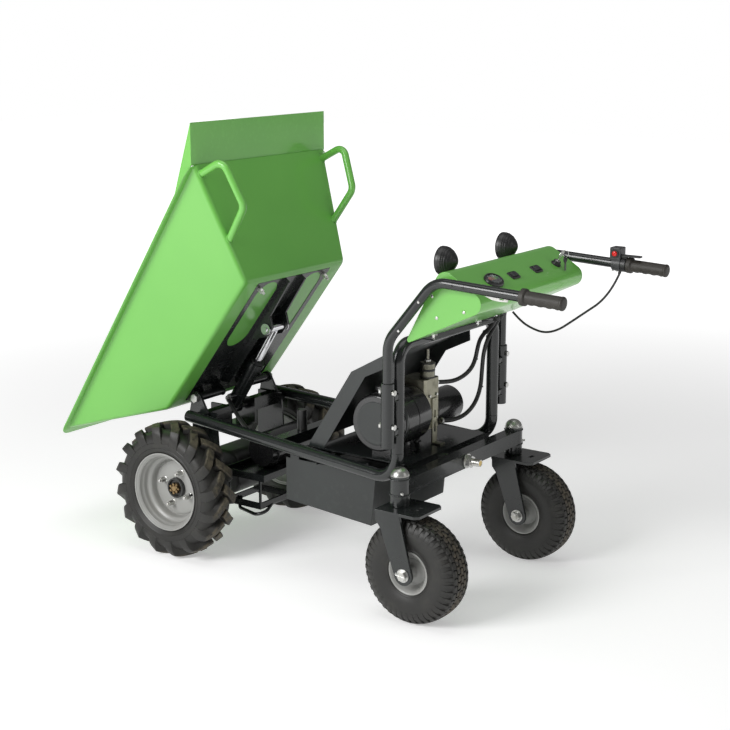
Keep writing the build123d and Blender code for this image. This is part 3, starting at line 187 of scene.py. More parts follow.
def rounded_path(points: Sequence[Point], radii: Sequence[float], arc_steps: int = 10) -> np.ndarray:
    """Straight runs joined by arcs.

    At each corner the arc of radius r starts r*tan(half turn) before the corner and ends as far after it;
    a point of the arc is centre + r*(cos t*u + sin t*w).

    Args:
        points: the corners and both ends.
        radii: one radius for each inner corner.
        arc_steps: points on each arc.

    Returns:
        Array of points along the path.
    """
    knots = np.asarray(points, float)
    pieces = [knots[:1]]
    for before, at, after, radius in zip(knots, knots[1:], knots[2:], radii):
        back, on = before - at, after - at
        back, on = back / np.linalg.norm(back), on / np.linalg.norm(on)
        half = np.arccos(np.clip(back @ on, -1, 1)) / 2
        middle = back + on
        middle /= np.linalg.norm(middle)
        centre = at + middle * radius / sin(half)
        start = at + back * radius / np.tan(half) - centre
        sweep = pi - 2 * half
        side = on - (on @ (start / radius)) * (start / radius)
        side /= np.linalg.norm(side)
        t = np.linspace(0, sweep, arc_steps)[:, None]
        pieces.append(centre + np.cos(t) * start + np.sin(t) * radius * side)
    pieces.append(knots[-1:])
    return np.vstack(pieces)


def carried(path: np.ndarray, radius: np.ndarray | float, sides: int = 24, cap: bool = True) -> Patch:
    """A round section carried along a path.

    The section at each point is point + r*(cos a*n + sin a*b), with n taken from the one before it and made
    square to the path again, so that the tube does not twist.

    Args:
        path: points along the middle line.
        radius: one radius, or one for each point.
        sides: points round the section.
        cap: closes both ends.

    Returns:
        The patch.
    """
    tangent = np.gradient(path, axis=0)
    tangent /= np.linalg.norm(tangent, axis=1)[:, None]
    _, normal, _ = triad(tangent[0])
    normals = []
    for direction in tangent:
        normal = normal - (normal @ direction) * direction
        normal = normal / np.linalg.norm(normal)
        normals.append(normal)
    n = np.array(normals)
    b = np.cross(tangent, n)
    angle = np.linspace(0, 2 * pi, sides, endpoint=False)[None, :, None]
    size = np.broadcast_to(np.asarray(radius, float), (len(path),))[:, None, None]
    points = path[:, None] + size * (np.cos(angle) * n[:, None] + np.sin(angle) * b[:, None])
    return grid(points, along_v=Lay.ROUND, cap=cap)


def polygon(sides: int, radius: float, turn: float = 0.0) -> np.ndarray:
    """Corners of a regular polygon: radius*(cos a, sin a)."""
    angle = np.linspace(0, 2 * pi, sides, endpoint=False) + turn
    return radius * np.column_stack([np.cos(angle), np.sin(angle)])


def bolt_head(centre: Point, axis: Point, radius: float, height: float, washer: float = 0.0) -> Patch:
    """Hexagon head with a chamfered crown, standing on a washer.

    Args:
        centre: middle of the face the head stands on.
        axis: direction the head points in.
        radius: distance from the middle to a corner.
        height: height of the head without the washer.
        washer: radius of the washer, or 0 for none.

    Returns:
        The patch.
    """
    along, first, second = triad(axis)
    base = 0.0
    parts = []
    if washer:
        base = 0.0016
        rim = [(0.0, 0.0), (washer - 0.0003, 0.0), (washer, 0.0004), (washer, 0.0012), (washer - 0.0003, base),
               (0.0, base)]
        parts.append(turned(rim, centre, axis, 40))
    low = polygon(6, radius)
    crown = polygon(6, radius * 0.86)
    rings = [(low, base), (low, base + height * 0.84), (crown, base + height)]
    points = np.stack([np.column_stack([r, np.full(6, z)]) for r, z in rings])
    parts.append(grid(points, along_v=Lay.ROUND, cap=True).placed(centre, first, second, along))
    return together(parts)


def threaded(start: Point, end: Point, radius: float, pitch: float = 0.0015) -> Patch:
    """Threaded stud end: rings whose radius rises and falls once for each pitch.

    Args:
        start: first end of the middle line.
        end: second end.
        radius: outer radius of the thread.
        pitch: distance from crest to crest.

    Returns:
        The patch.
    """
    a, b = np.asarray(start, float), np.asarray(end, float)
    length = float(np.linalg.norm(b - a))
    count = max(3, int(length / pitch) * 2 + 1)
    s = np.linspace(0, length, count)
    depth = np.where(np.arange(count) % 2 == 0, radius * 0.86, radius)
    depth[-1] = radius * 0.7
    profile = [(0.0, 0.0)] + list(zip(depth, s)) + [(0.0, length)]
    return turned(profile, a, b - a, 20)


def weld_ring(centre: Point, axis: Point, radius: float, size: float = 0.0026) -> Patch:
    """Weld bead round a tube: a small round section on a ring whose size swells once for each ripple.

    The ring point is radius*(cos a, sin a); the section radius is size*(1 + 0.18*cos(28 a)).

    Args:
        centre: middle of the ring.
        axis: axis of the tube.
        radius: radius of the tube's skin.
        size: radius of the bead.

    Returns:
        The patch.
    """
    along, first, second = triad(axis)
    a = np.linspace(0, 2 * pi, 168, endpoint=False)[:, None, None]
    t = np.linspace(0, 2 * pi, 8, endpoint=False)[None, :, None]
    swell = size * (1 + 0.18 * np.cos(28 * a))
    out = np.cos(a) * first + np.sin(a) * second
    points = np.asarray(centre, float) + out * (radius + swell * np.cos(t)) + along * swell * np.sin(t)
    return grid(points, along_u=Lay.ROUND, along_v=Lay.ROUND)


def weld_line(start: Point, end: Point, size: float = 0.0028) -> Patch:
    """Straight weld bead whose radius swells once for each ripple of about 3 mm."""
    a, b = np.asarray(start, float), np.asarray(end, float)
    length = float(np.linalg.norm(b - a))
    s = np.linspace(0, 1, max(12, int(length / 0.0008)))
    swell = size * (1 + 0.18 * np.cos(2 * pi * s * length / 0.0032)) * np.clip(np.minimum(s, 1 - s) * 30 + 0.3, 0, 1)
    return carried(a + s[:, None] * (b - a), swell, 8)


def route_spline(data: bpy.types.Curve, points: Sequence[Point]) -> bpy.types.Spline:
    """Adds a NURBS spline of order 3 whose control points are the route's points."""
    data.dimensions = "3D"
    spline = data.splines.new("NURBS")
    spline.points.add(len(points) - 1)
    spline.points.foreach_set("co", np.column_stack([np.asarray(points, float), np.ones(len(points))]).ravel())
    spline.order_u = 3
    spline.use_endpoint_u = True
    return spline


# ---- node materials --------------------------------------------------------------------------------
class Graph:
    """Short hand for the node tree of one material."""

    def __init__(self, name: str) -> None:
        """Starts a material with one Principled shader."""
        self.material = bpy.data.materials.new(name)
        self.material.use_nodes = True
        self.tree = self.material.node_tree
        self.shader = next(n for n in self.tree.nodes if n.type == "BSDF_PRINCIPLED")
        self.place = self.add("ShaderNodeTexCoord").outputs["Object"]
        self.geometry = self.add("ShaderNodeNewGeometry")

    def add(self, kind: str, **settings: object) -> bpy.types.Node:
        """Adds a node and sets its properties."""
        node = self.tree.nodes.new(kind)
        for key, value in settings.items():
            setattr(node, key, value)
        return node

    def link(self, source: bpy.types.NodeSocket, target: bpy.types.NodeSocket) -> None:
        """Joins an output to an input."""
        self.tree.links.new(source, target)

    def feed(self, target: bpy.types.NodeSocket, value: object) -> None:
        """Sets an input to a number or colour, or joins it to an output."""
        if isinstance(value, bpy.types.NodeSocket):
            self.link(value, target)
        elif isinstance(value, (tuple, list)) and len(value) == 3 and target.type == "RGBA":
            target.default_value = (*value, 1.0)
        else:
            target.default_value = value

    def stretched(self, scale: Point, turn: Point = (0, 0, 0)) -> bpy.types.NodeSocket:
        """Object coordinates scaled by a different amount on each axis."""
        node = self.add("ShaderNodeMapping")
        self.link(self.place, node.inputs["Vector"])
        node.inputs["Scale"].default_value = scale
        node.inputs["Rotation"].default_value = turn
        return node.outputs["Vector"]

    def noise(self, scale: float, detail: float = 4.0, rough: float = 0.55,
              where: bpy.types.NodeSocket | None = None) -> bpy.types.NodeSocket:
        """Fractal noise with so many features to the metre."""
        node = self.add("ShaderNodeTexNoise")
        self.link(where or self.place, node.inputs["Vector"])
        node.inputs["Scale"].default_value = scale
        node.inputs["Detail"].default_value = detail
        node.inputs["Roughness"].default_value = rough
        return node.outputs["Fac"]

    def cells(self, scale: float, where: bpy.types.NodeSocket | None = None) -> bpy.types.NodeSocket:
        """Distance to the nearest of scattered points."""
        node = self.add("ShaderNodeTexVoronoi")
        self.link(where or self.place, node.inputs["Vector"])
        node.inputs["Scale"].default_value = scale
        return node.outputs["Distance"]

    def ramp(self, value: bpy.types.NodeSocket, low: float, high: float) -> bpy.types.NodeSocket:
        """0 below low, 1 above high, and smooth between."""
        node = self.add("ShaderNodeMapRange", interpolation_type="SMOOTHSTEP")
        self.link(value, node.inputs["Value"])
        node.inputs["From Min"].default_value = low
        node.inputs["From Max"].default_value = high
        return node.outputs["Result"]

    def between(self, share: object, low: float, high: float) -> bpy.types.NodeSocket:
        """low where the share is 0 and high where it is 1."""
        node = self.add("ShaderNodeMapRange")
        self.feed(node.inputs["Value"], share)
        node.inputs["To Min"].default_value = low
        node.inputs["To Max"].default_value = high
        return node.outputs["Result"]

    def maths(self, operation: str, a: object, b: object = 0.0) -> bpy.types.NodeSocket:
        """One arithmetic step."""
        node = self.add("ShaderNodeMath", operation=operation)
        self.feed(node.inputs[0], a)
        self.feed(node.inputs[1], b)
        return node.outputs[0]

    def colour(self, share: object, low: object, high: object) -> bpy.types.NodeSocket:
        """Blend of two colours."""
        node = self.add("ShaderNodeMix", data_type="RGBA")
        self.feed(node.inputs[0], share)
        self.feed(node.inputs[6], low)
        self.feed(node.inputs[7], high)
        return node.outputs[2]

    def upward(self) -> bpy.types.NodeSocket:
        """How far the surface faces the sky, from -1 to 1."""
        node = self.add("ShaderNodeSeparateXYZ")
        self.link(self.geometry.outputs["Normal"], node.inputs[0])
        return node.outputs["Z"]

    def bump(self, height: bpy.types.NodeSocket, distance: float, strength: float = 1.0,
             before: bpy.types.NodeSocket | None = None) -> bpy.types.NodeSocket:
        """Normal from a height, in metres at full height."""
        node = self.add("ShaderNodeBump")
        self.link(height, node.inputs["Height"])
        node.inputs["Distance"].default_value = distance
        node.inputs["Strength"].default_value = strength
        if before is not None:
            self.link(before, node.inputs["Normal"])
        return node.outputs["Normal"]

    def distance(self, centre: Point) -> bpy.types.NodeSocket:
        """Distance of a point of the piece from a centre."""
        gap = self.add("ShaderNodeVectorMath", operation="DISTANCE")
        self.link(self.add("ShaderNodeTexCoord").outputs["Object"], gap.inputs[0])
        gap.inputs[1].default_value = centre
        return gap.outputs["Value"]

    def set(self, **sockets: object) -> "Graph":
        """Feeds the shader's own sockets; an underscore stands for a space."""
        for key, value in sockets.items():
            self.feed(self.shader.inputs[key.replace("_", " ")], value)
        return self


@dataclass(frozen=True)
class Paint:
    """Powder-coated or painted sheet with orange peel, faint dust, and edges made paler: partly wear, partly a painted
    edge highlight.
    """

    name: str
    base: tuple[float, float, float]
    tint: tuple[float, float, float]
    rough: float = 0.28
    coat: float = 0.4
    peel: float = 0.00006
    dust: float = 0.15
    dust_colour: tuple[float, float, float] = (0.30, 0.29, 0.26)
    # Share of the paler edges: partly wear, partly a painted edge highlight.
    edge_wear_and_highlight: float = 0.35

    def make(self) -> bpy.types.Material:
        """Builds the material.

        Returns:
            The material: colour drifts slowly, dust gathers on faces that look up, and edges are made paler, partly by
                wear and partly by a painted edge highlight.
        """
        g = Graph(self.name)
        drift = g.ramp(g.noise(3.5, 3.0), 0.30, 0.70)
        colour = g.colour(drift, self.base, self.tint)
        speck = g.ramp(g.noise(240.0, 3.0, 0.6), 0.66, 0.76)
        colour = g.colour(g.maths("MULTIPLY", speck, self.dust * 0.3), colour, self.dust_colour)
        blotch = g.ramp(g.noise(16.0, 6.0, 0.68), 0.40, 0.80)
        lying = g.maths("MULTIPLY", blotch, g.ramp(g.upward(), 0.1, 0.95))
        dust = g.maths("MULTIPLY", lying, self.dust)
        colour = g.colour(dust, colour, self.dust_colour)
        # Convex edges, found by pointiness, get a lighter shade of the paint's tint: partly rubbed wear, partly a
        # painted edge highlight.
        edge = g.ramp(g.geometry.outputs["Pointiness"], 0.53, 0.60)
        rubbed_edge_and_highlight = g.maths("MULTIPLY", g.maths("MULTIPLY", edge, g.ramp(g.noise(70.0, 5.0), 0.5, 0.66)), self.edge_wear_and_highlight)
        colour = g.colour(rubbed_edge_and_highlight, colour, tuple(min(1.0, c * 1.6 + 0.05) for c in self.tint))
        streak = g.ramp(g.noise(1.0, 5.0, 0.6, g.stretched((14, 14, 60))), 0.5, 0.8)
        rough = g.maths("ADD", g.between(streak, self.rough, self.rough + 0.10), g.maths("MULTIPLY", dust, 0.5))
        peel = g.bump(g.noise(330.0, 2.0, 0.5), self.peel)
        wave = g.bump(g.noise(9.0, 2.0, 0.4), self.peel * 7, 1.0, peel)
        g.set(Base_Color=colour, Roughness=rough, Normal=wave, Coat_Weight=self.coat, Coat_Roughness=0.08)
        return g.material


@dataclass(frozen=True)
class Metal:
    """Bare or plated metal with turning marks, tarnish and handling smears."""

    name: str
    base: tuple[float, float, float]
    tarnish: tuple[float, float, float]
    rough: float = 0.28
    grain: float = 0.5
    pits: float = 0.00003

    def make(self) -> bpy.types.Material:
        """Builds the material.

        Returns:
            The material: a metal whose colour and roughness vary in blotches and fine scratches.
        """
        g = Graph(self.name)
        blotch = g.ramp(g.noise(45.0, 6.0, 0.65), 0.42, 0.72)
        fine = g.noise(900.0, 2.0, 0.5, g.stretched((1, 0.2, 1)))
        colour = g.colour(g.maths("MULTIPLY", blotch, self.grain), self.base, self.tarnish)
        rough = g.maths("ADD", g.between(blotch, self.rough, self.rough + 0.16), g.between(fine, -0.05, 0.05))
        normal = g.bump(g.noise(600.0, 3.0, 0.6), self.pits)
        g.set(Base_Color=colour, Metallic=1.0, Roughness=rough, Normal=normal)
        return g.material


@dataclass(frozen=True)
class TyreRubber:
    """Tyre rubber, dusty on its lugs, bloomed on its walls."""

    name: str
    centre: tuple[float, float, float]
    outer_radius: float
    tread_depth: float
    base: tuple[float, float, float] = (0.016, 0.0155, 0.014)
    dirt: tuple[float, float, float] = (0.165, 0.140, 0.092)
    dirt_share: float = 0.8

    def make(self) -> bpy.types.Material:
        """Builds the material.

        Returns:
            The material: earth colours the surface near the outer radius, measured from the wheel's axle.
        """
        g = Graph(self.name)
        split = g.add("ShaderNodeSeparateXYZ")
        g.link(g.place, split.inputs[0])
        dx = g.maths("SUBTRACT", split.outputs["X"], self.centre[0])
        dz = g.maths("SUBTRACT", split.outputs["Z"], self.centre[2])
        reach = g.maths("SQRT", g.maths("ADD", g.maths("MULTIPLY", dx, dx), g.maths("MULTIPLY", dz, dz)))
        top = g.ramp(reach, self.outer_radius - self.tread_depth * 0.55, self.outer_radius - self.tread_depth * 0.05)
        patchy = g.ramp(g.noise(55.0, 6.0, 0.7), 0.34, 0.62)
        earth = g.maths("MULTIPLY", g.maths("MULTIPLY", top, patchy), self.dirt_share)
        film = g.maths("MULTIPLY", g.ramp(g.noise(22.0, 5.0, 0.65), 0.4, 0.8), 0.22)
        colour = g.colour(film, self.base, (0.075, 0.07, 0.058))
        colour = g.colour(earth, colour, g.colour(g.noise(300.0, 3.0), self.dirt, tuple(c * 0.6 for c in self.dirt)))
        rough = g.between(g.maths("MAXIMUM", earth, film), 0.46, 0.85)
        normal = g.bump(g.noise(420.0, 4.0, 0.65), 0.00012)
        g.set(Base_Color=colour, Roughness=rough, Normal=normal, Specular_IOR_Level=0.42)
        return g.material


@dataclass(frozen=True)
class Moulded:
    """Moulded plastic or rubber with a fine grain."""

    name: str
    base: tuple[float, float, float]
    rough: float = 0.45
    grain_scale: float = 900.0
    grain: float = 0.00005
    dust: tuple[float, float, float] = (0.12, 0.11, 0.09)
    dust_share: float = 0.15

    def make(self) -> bpy.types.Material:
        """Builds the material.

        Returns:
            The material: a grain of fine cells, slow changes of tone and a little dust.
        """
        g = Graph(self.name)
        tone = g.ramp(g.noise(30.0, 4.0), 0.35, 0.7)
        colour = g.colour(tone, self.base, tuple(c * 1.35 + 0.002 for c in self.base))
        dust = g.maths("MULTIPLY", g.ramp(g.noise(90.0, 5.0, 0.7), 0.52, 0.78), self.dust_share)
        colour = g.colour(dust, colour, self.dust)
        rough = g.between(g.noise(60.0, 4.0), self.rough - 0.06, self.rough + 0.10)
        normal = g.bump(g.cells(self.grain_scale), self.grain)
        g.set(Base_Color=colour, Roughness=rough, Normal=normal)
        return g.material


@dataclass(frozen=True)
class Clear:
    """Clear lens or gauge window."""

    name: str
    tint: tuple[float, float, float] = (0.92, 0.95, 0.95)

    def make(self) -> bpy.types.Material:
        """Builds the material.

        Returns:
            The material: a thin clear shell with faint handling marks.
        """
        g = Graph(self.name)
        rough = g.between(g.ramp(g.noise(120.0, 4.0), 0.4, 0.8), 0.02, 0.12)
        normal = g.bump(g.noise(80.0, 2.0), 0.00004)
        g.set(Base_Color=self.tint, Roughness=rough, Transmission_Weight=0.95, IOR=1.2, Normal=normal)
        return g.material


@dataclass(frozen=True)
class DialFace:
    """Battery dial: pale field with a coloured band, by angle about its middle."""

    name: str
    centre: tuple[float, float, float]

    def make(self) -> bpy.types.Material:
        """Builds the material.

        Returns:
            The material: the band turns from red to green across the dial, with plain tick marks.
        """
        g = Graph(self.name)
        split = g.add("ShaderNodeSeparateXYZ")
        g.link(g.place, split.inputs[0])
        across = g.maths("SUBTRACT", split.outputs["Y"], self.centre[1])
        share = g.ramp(across, -0.018, 0.018)
        band = g.colour(share, (0.05, 0.35, 0.06), (0.5, 0.03, 0.02))
        ticks = g.maths("GREATER_THAN", g.maths("FRACT", g.maths("MULTIPLY", across, 260.0)), 0.82)
        rise = g.maths("SUBTRACT", split.outputs["Z"], self.centre[2])
        strip = g.maths("MULTIPLY", g.ramp(rise, -0.001, 0.000),
                        g.ramp(g.maths("MULTIPLY", rise, -1.0), -0.006, -0.005))
        colour = g.colour(strip, (0.035, 0.036, 0.04), band)
        colour = g.colour(g.maths("MULTIPLY", ticks, g.ramp(rise, 0.002, 0.004)), colour, (0.75, 0.75, 0.72))
        g.set(Base_Color=colour, Roughness=g.between(g.noise(200.0), 0.3, 0.45))
        return g.material


@dataclass
class Workshop:
    """Makes each finish once and hands it out by name."""

    finishes: dict[str, object]
    made: dict[str, bpy.types.Material] = field(default_factory=dict)

    def get(self, name: str) -> bpy.types.Material:
        """The material of that name, made the first time it is asked for."""
        if name not in self.made:
            self.made[name] = self.finishes[name].make()
        return self.made[name]


# ---- finished pieces ----------------------------------------------------------------------------------
@dataclass
class Maker:
    """Turns patches, CAD copies and routes into named, dressed pieces that ride on their bodies."""

    shop: Workshop
    nodes: dict[str, bpy.types.Object]
    body_of_node: dict[str, str]
    slot_of_node: dict[str, str]
    stood_for: set[str] = field(default_factory=set)

    def piece(self, name: str, patch: Patch, finish: str, body: str, replaces: Sequence[str] = (),
              slot: str = "", sharp: float = 32.0, merge: float = 2e-6) -> bpy.types.Object:
        """Makes a mesh piece from a patch.

        Args:
            name: name of the piece.
            patch: its surface.
            finish: name of its finish.
            body: the body it rides on.
            replaces: CAD nodes it stands for.
            slot: the record's material slot; not used.
            sharp: edges that turn by more degrees than this are shown sharp.
            merge: points nearer than this become one.

        Returns:
            The object.
        """
        mesh = bpy.data.meshes.new(name)
        fill_mesh(mesh, patch)
        close_seams(mesh, merge)
        return self.dress(name, mesh, finish, body, replaces, sharp)

    def dress(self, name: str, mesh: bpy.types.Mesh, finish: str, body: str, replaces: Sequence[str] = (),
              sharp: float = 32.0) -> bpy.types.Object:
        """Gives a mesh its smooth faces, material and body."""
        mesh.shade_smooth()
        mesh.set_sharp_from_angle(angle=radians(sharp))
        mesh.materials.clear()
        mesh.materials.append(self.shop.get(finish))
        piece = bpy.data.objects.new(name, mesh)
        bpy.context.scene.collection.objects.link(piece)
        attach(piece, body)
        if replaces:
            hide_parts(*replaces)
            self.stood_for.update(replaces)
        LOG.info("piece %s: %d faces, %s, rides on %s", name, len(mesh.polygons), finish, body)
        return piece

    def refined(self, node: str, finish: str, bevel: float = 0.0, segments: int = 2, name: str = "",
                limit: float = 40.0) -> bpy.types.Object:
        """A merged copy of a CAD node with softened edges, which stands for the node.

        Args:
            node: the CAD node.
            finish: name of the finish.
            bevel: width of the bevel on its edges, or 0 for none.
            segments: segments of the bevel.
            name: name of the piece, or empty for one made from the node's.
            limit: edges that turn by more degrees than this are bevelled.

        Returns:
            The object.
        """
        mesh = self.nodes[node].data.copy()
        work = bmesh.new()
        work.from_mesh(mesh)
        bmesh.ops.remove_doubles(work, verts=work.verts, dist=2e-6)
        bmesh.ops.dissolve_limit(work, angle_limit=radians(0.6), verts=work.verts, edges=work.edges)
        work.to_mesh(mesh)
        work.free()
        piece = self.dress(name or f"{node}_skin", mesh, finish, self.body_of_node[node], (node,))
        if bevel:
            soften(piece, bevel, segments, limit)
        return piece

    def hose(self, name: str, points: Sequence[Point], radius: float, finish: str, body: str,
             replaces: Sequence[str] = ()) -> bpy.types.Object:
        """A held hose or cable on a smooth NURBS line.

        Args:
            name: name of the piece.
            points: the route's points.
            radius: radius of the hose.
            finish: name of its finish.
            body: the body it rides on.
            replaces: CAD nodes it stands for.

        Returns:
            The object.
        """
        data = bpy.data.curves.new(name, "CURVE")
        route_spline(data, points)
        data.bevel_depth = radius
        data.bevel_resolution = 5
        data.resolution_u = 16
        data.use_fill_caps = True
        data.materials.append(self.shop.get(finish))
        piece = bpy.data.objects.new(name, data)
        bpy.context.scene.collection.objects.link(piece)
        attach(piece, body)
        if replaces:
            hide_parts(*replaces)
            self.stood_for.update(replaces)
        LOG.info("hose %s: %d route points, rides on %s", name, len(points), body)
        return piece


def fill_mesh(mesh: bpy.types.Mesh, patch: Patch) -> None:
    """Puts a patch's arrays into a mesh."""
    sizes = np.concatenate([np.full(len(f), f.shape[1]) for f in patch.faces])
    loops = np.concatenate([f.ravel() for f in patch.faces]).astype(np.int32)
    starts = np.concatenate([[0], np.cumsum(sizes)[:-1]]).astype(np.int32)
    mesh.vertices.add(len(patch.points))
    mesh.vertices.foreach_set("co", patch.points.astype(np.float32).ravel())
    mesh.loops.add(len(loops))
    mesh.loops.foreach_set("vertex_index", loops)
    mesh.polygons.add(len(sizes))
    mesh.polygons.foreach_set("loop_start", starts)
    mesh.update(calc_edges=True)
    mesh.validate()


def close_seams(mesh: bpy.types.Mesh, merge: float) -> None:
    """Merges doubled points, drops faces without area and turns every face outwards."""
    work = bmesh.new()
    work.from_mesh(mesh)
    bmesh.ops.remove_doubles(work, verts=work.verts, dist=merge)
    bmesh.ops.dissolve_degenerate(work, edges=work.edges, dist=merge / 2)
    bmesh.ops.recalc_face_normals(work, faces=work.faces)
    work.to_mesh(mesh)
    work.free()


def soften(piece: bpy.types.Object, width: float, segments: int, limit: float = 40.0) -> None:
    """Bevels the edges of a piece."""
    bevel = piece.modifiers.new("soft_edges", "BEVEL")
    bevel.width = width
    bevel.segments = segments
    bevel.limit_method = "ANGLE"
    bevel.angle_limit = radians(limit)
    bevel.use_clamp_overlap = True
    bevel.harden_normals = True
    bevel.miter_outer = "MITER_ARC"


# ---- studio ---------------------------------------------------------------------------------------------
@dataclass
class Studio:
    """Plain pale floor, soft light and the camera."""

    azimuth: float = 215.4
    elevation: float = 13.05
    distance: float = 4.2414
    target: tuple[float, float, float] = (-0.4776, 0.0, 0.5712)
    lens: float = 75.3
    floor_half: float = 14.0
    ambient: float = 0.20

    def camera(self) -> bpy.types.Object:
        """Camera on a line from the target: back = (sin a cos e, -cos a cos e, sin e)."""
        a, e = radians(self.azimuth), radians(self.elevation)
        back = Vector((sin(a) * cos(e), -cos(a) * cos(e), sin(e)))
        data = bpy.data.cameras.new("camera")
        data.lens = self.lens
        data.sensor_width = 36.0
        data.clip_end = 60.0
        camera = bpy.data.objects.new("camera", data)
        camera.location = Vector(self.target) + back * self.distance
        camera.rotation_euler = back.to_track_quat("Z", "Y").to_euler()
        bpy.context.scene.collection.objects.link(camera)
        bpy.context.scene.camera = camera
        return camera

    def floor(self) -> None:
        """Wide pale floor whose tone drifts a little, with a painted glow that is faint near the machine and full
        white far from it.
        """
        half = self.floor_half
        corners = np.array([[-half, -half, 0], [half, -half, 0], [half, half, 0], [-half, half, 0]], float)
        mesh = bpy.data.meshes.new("studio_floor")
        fill_mesh(mesh, Patch(corners, [np.array([[0, 1, 2, 3]])]))
        g = Graph("studio_floor")
        tone = g.colour(g.noise(0.7, 2.0), (0.90, 0.90, 0.90), (0.93, 0.93, 0.93))
        # Painted glow: the floor's emission strength rises with distance from the machine, from 0.36 to 1.0, so the
        # far floor reads white.
        far_floor_glow = g.ramp(g.maths("DIVIDE", g.distance((-0.48, 0.0, 0.0)), half), 0.10, 0.42)
        g.set(Base_Color=tone, Roughness=0.85, Specular_IOR_Level=0.1, Emission_Color=(1.0, 1.0, 1.0, 1.0),
              Emission_Strength=g.between(far_floor_glow, 0.36, 1.0))
        mesh.materials.append(g.material)
        floor = bpy.data.objects.new("studio_floor", mesh)
        bpy.context.scene.collection.objects.link(floor)

    def lamp(self, name: str, place: Point, size: tuple[float, float], power: float, aim: Point) -> None:
        """Area lamp at a place, turned to a point."""
        data = bpy.data.lights.new(name, "AREA")
        data.shape = "RECTANGLE"
        data.size, data.size_y = size
        data.energy = power
        lamp = bpy.data.objects.new(name, data)
        lamp.location = place
        lamp.rotation_euler = (Vector(place) - Vector(aim)).to_track_quat("Z", "Y").to_euler()
        bpy.context.scene.collection.objects.link(lamp)

    def light(self) -> None:
        """White surroundings and three soft boxes: key on the left, top, and one behind the handlebars."""
        world = bpy.data.worlds.new("surroundings")
        world.use_nodes = True
        background = next(n for n in world.node_tree.nodes if n.type == "BACKGROUND")
        background.inputs["Color"].default_value = (1.0, 1.0, 1.0, 1.0)
        path = world.node_tree.nodes.new("ShaderNodeLightPath")
        power = world.node_tree.nodes.new("ShaderNodeMapRange")
        power.inputs["To Min"].default_value = self.ambient
        power.inputs["To Max"].default_value = 1.0
        world.node_tree.links.new(path.outputs["Is Camera Ray"], power.inputs["Value"])
        world.node_tree.links.new(power.outputs["Result"], background.inputs["Strength"])
        bpy.context.scene.world = world
        bpy.context.scene.view_settings.view_transform = "Standard"
        aim = (-0.4, 0.0, 0.5)
        self.lamp("key_box", (0.8, 4.4, 2.7), (2.6, 2.2), 198.0, aim)
        self.lamp("top_box", (-0.6, 0.2, 4.2), (3.0, 2.4), 34.0, aim)
        self.lamp("rear_box", (-4.4, -0.6, 2.2), (1.0, 2.0), 12.0, aim)

    def build(self) -> None:
        """Sets up camera, floor and light."""
        self.camera()
        self.floor()
        self.light()


# ---- wheels ---------------------------------------------------------------------------------------------
def smooth_line(knots: Sequence[Point], per_span: int = 6) -> np.ndarray:
    """Catmull-Rom line through knots, as whole arrays.

    Between knots p1 and p2 the point is 0.5*(2 p1 + (p2-p0) t + (2 p0-5 p1+4 p2-p3) t^2 + (3 p1-p0-3 p2+p3) t^3).

    Args:
        knots: the points to pass through.
        per_span: points for each span.

    Returns:
        Array of points, ends included.
    """
    k = np.asarray(knots, float)
    ends = np.vstack([2 * k[0] - k[1], k, 2 * k[-1] - k[-2]])
    p0, p1, p2, p3 = ends[:-3, None], ends[1:-2, None], ends[2:-1, None], ends[3:, None]
    t = np.linspace(0, 1, per_span, endpoint=False)[None, :, None]
    line = 0.5 * (2 * p1 + (p2 - p0) * t + (2 * p0 - 5 * p1 + 4 * p2 - p3) * t**2 + (3 * p1 - p0 - 3 * p2 + p3) * t**3)
    return np.vstack([line.reshape(-1, k.shape[1]), k[-1:]])


def wheel_points(centre: Point, angle: np.ndarray, radius: np.ndarray, across: np.ndarray) -> np.ndarray:
    """Points at centre + (radius*cos a, across, radius*sin a)."""
    parts = np.broadcast_arrays(radius * np.cos(angle), across, radius * np.sin(angle))
    return np.stack(parts, -1) + np.asarray(centre, float)


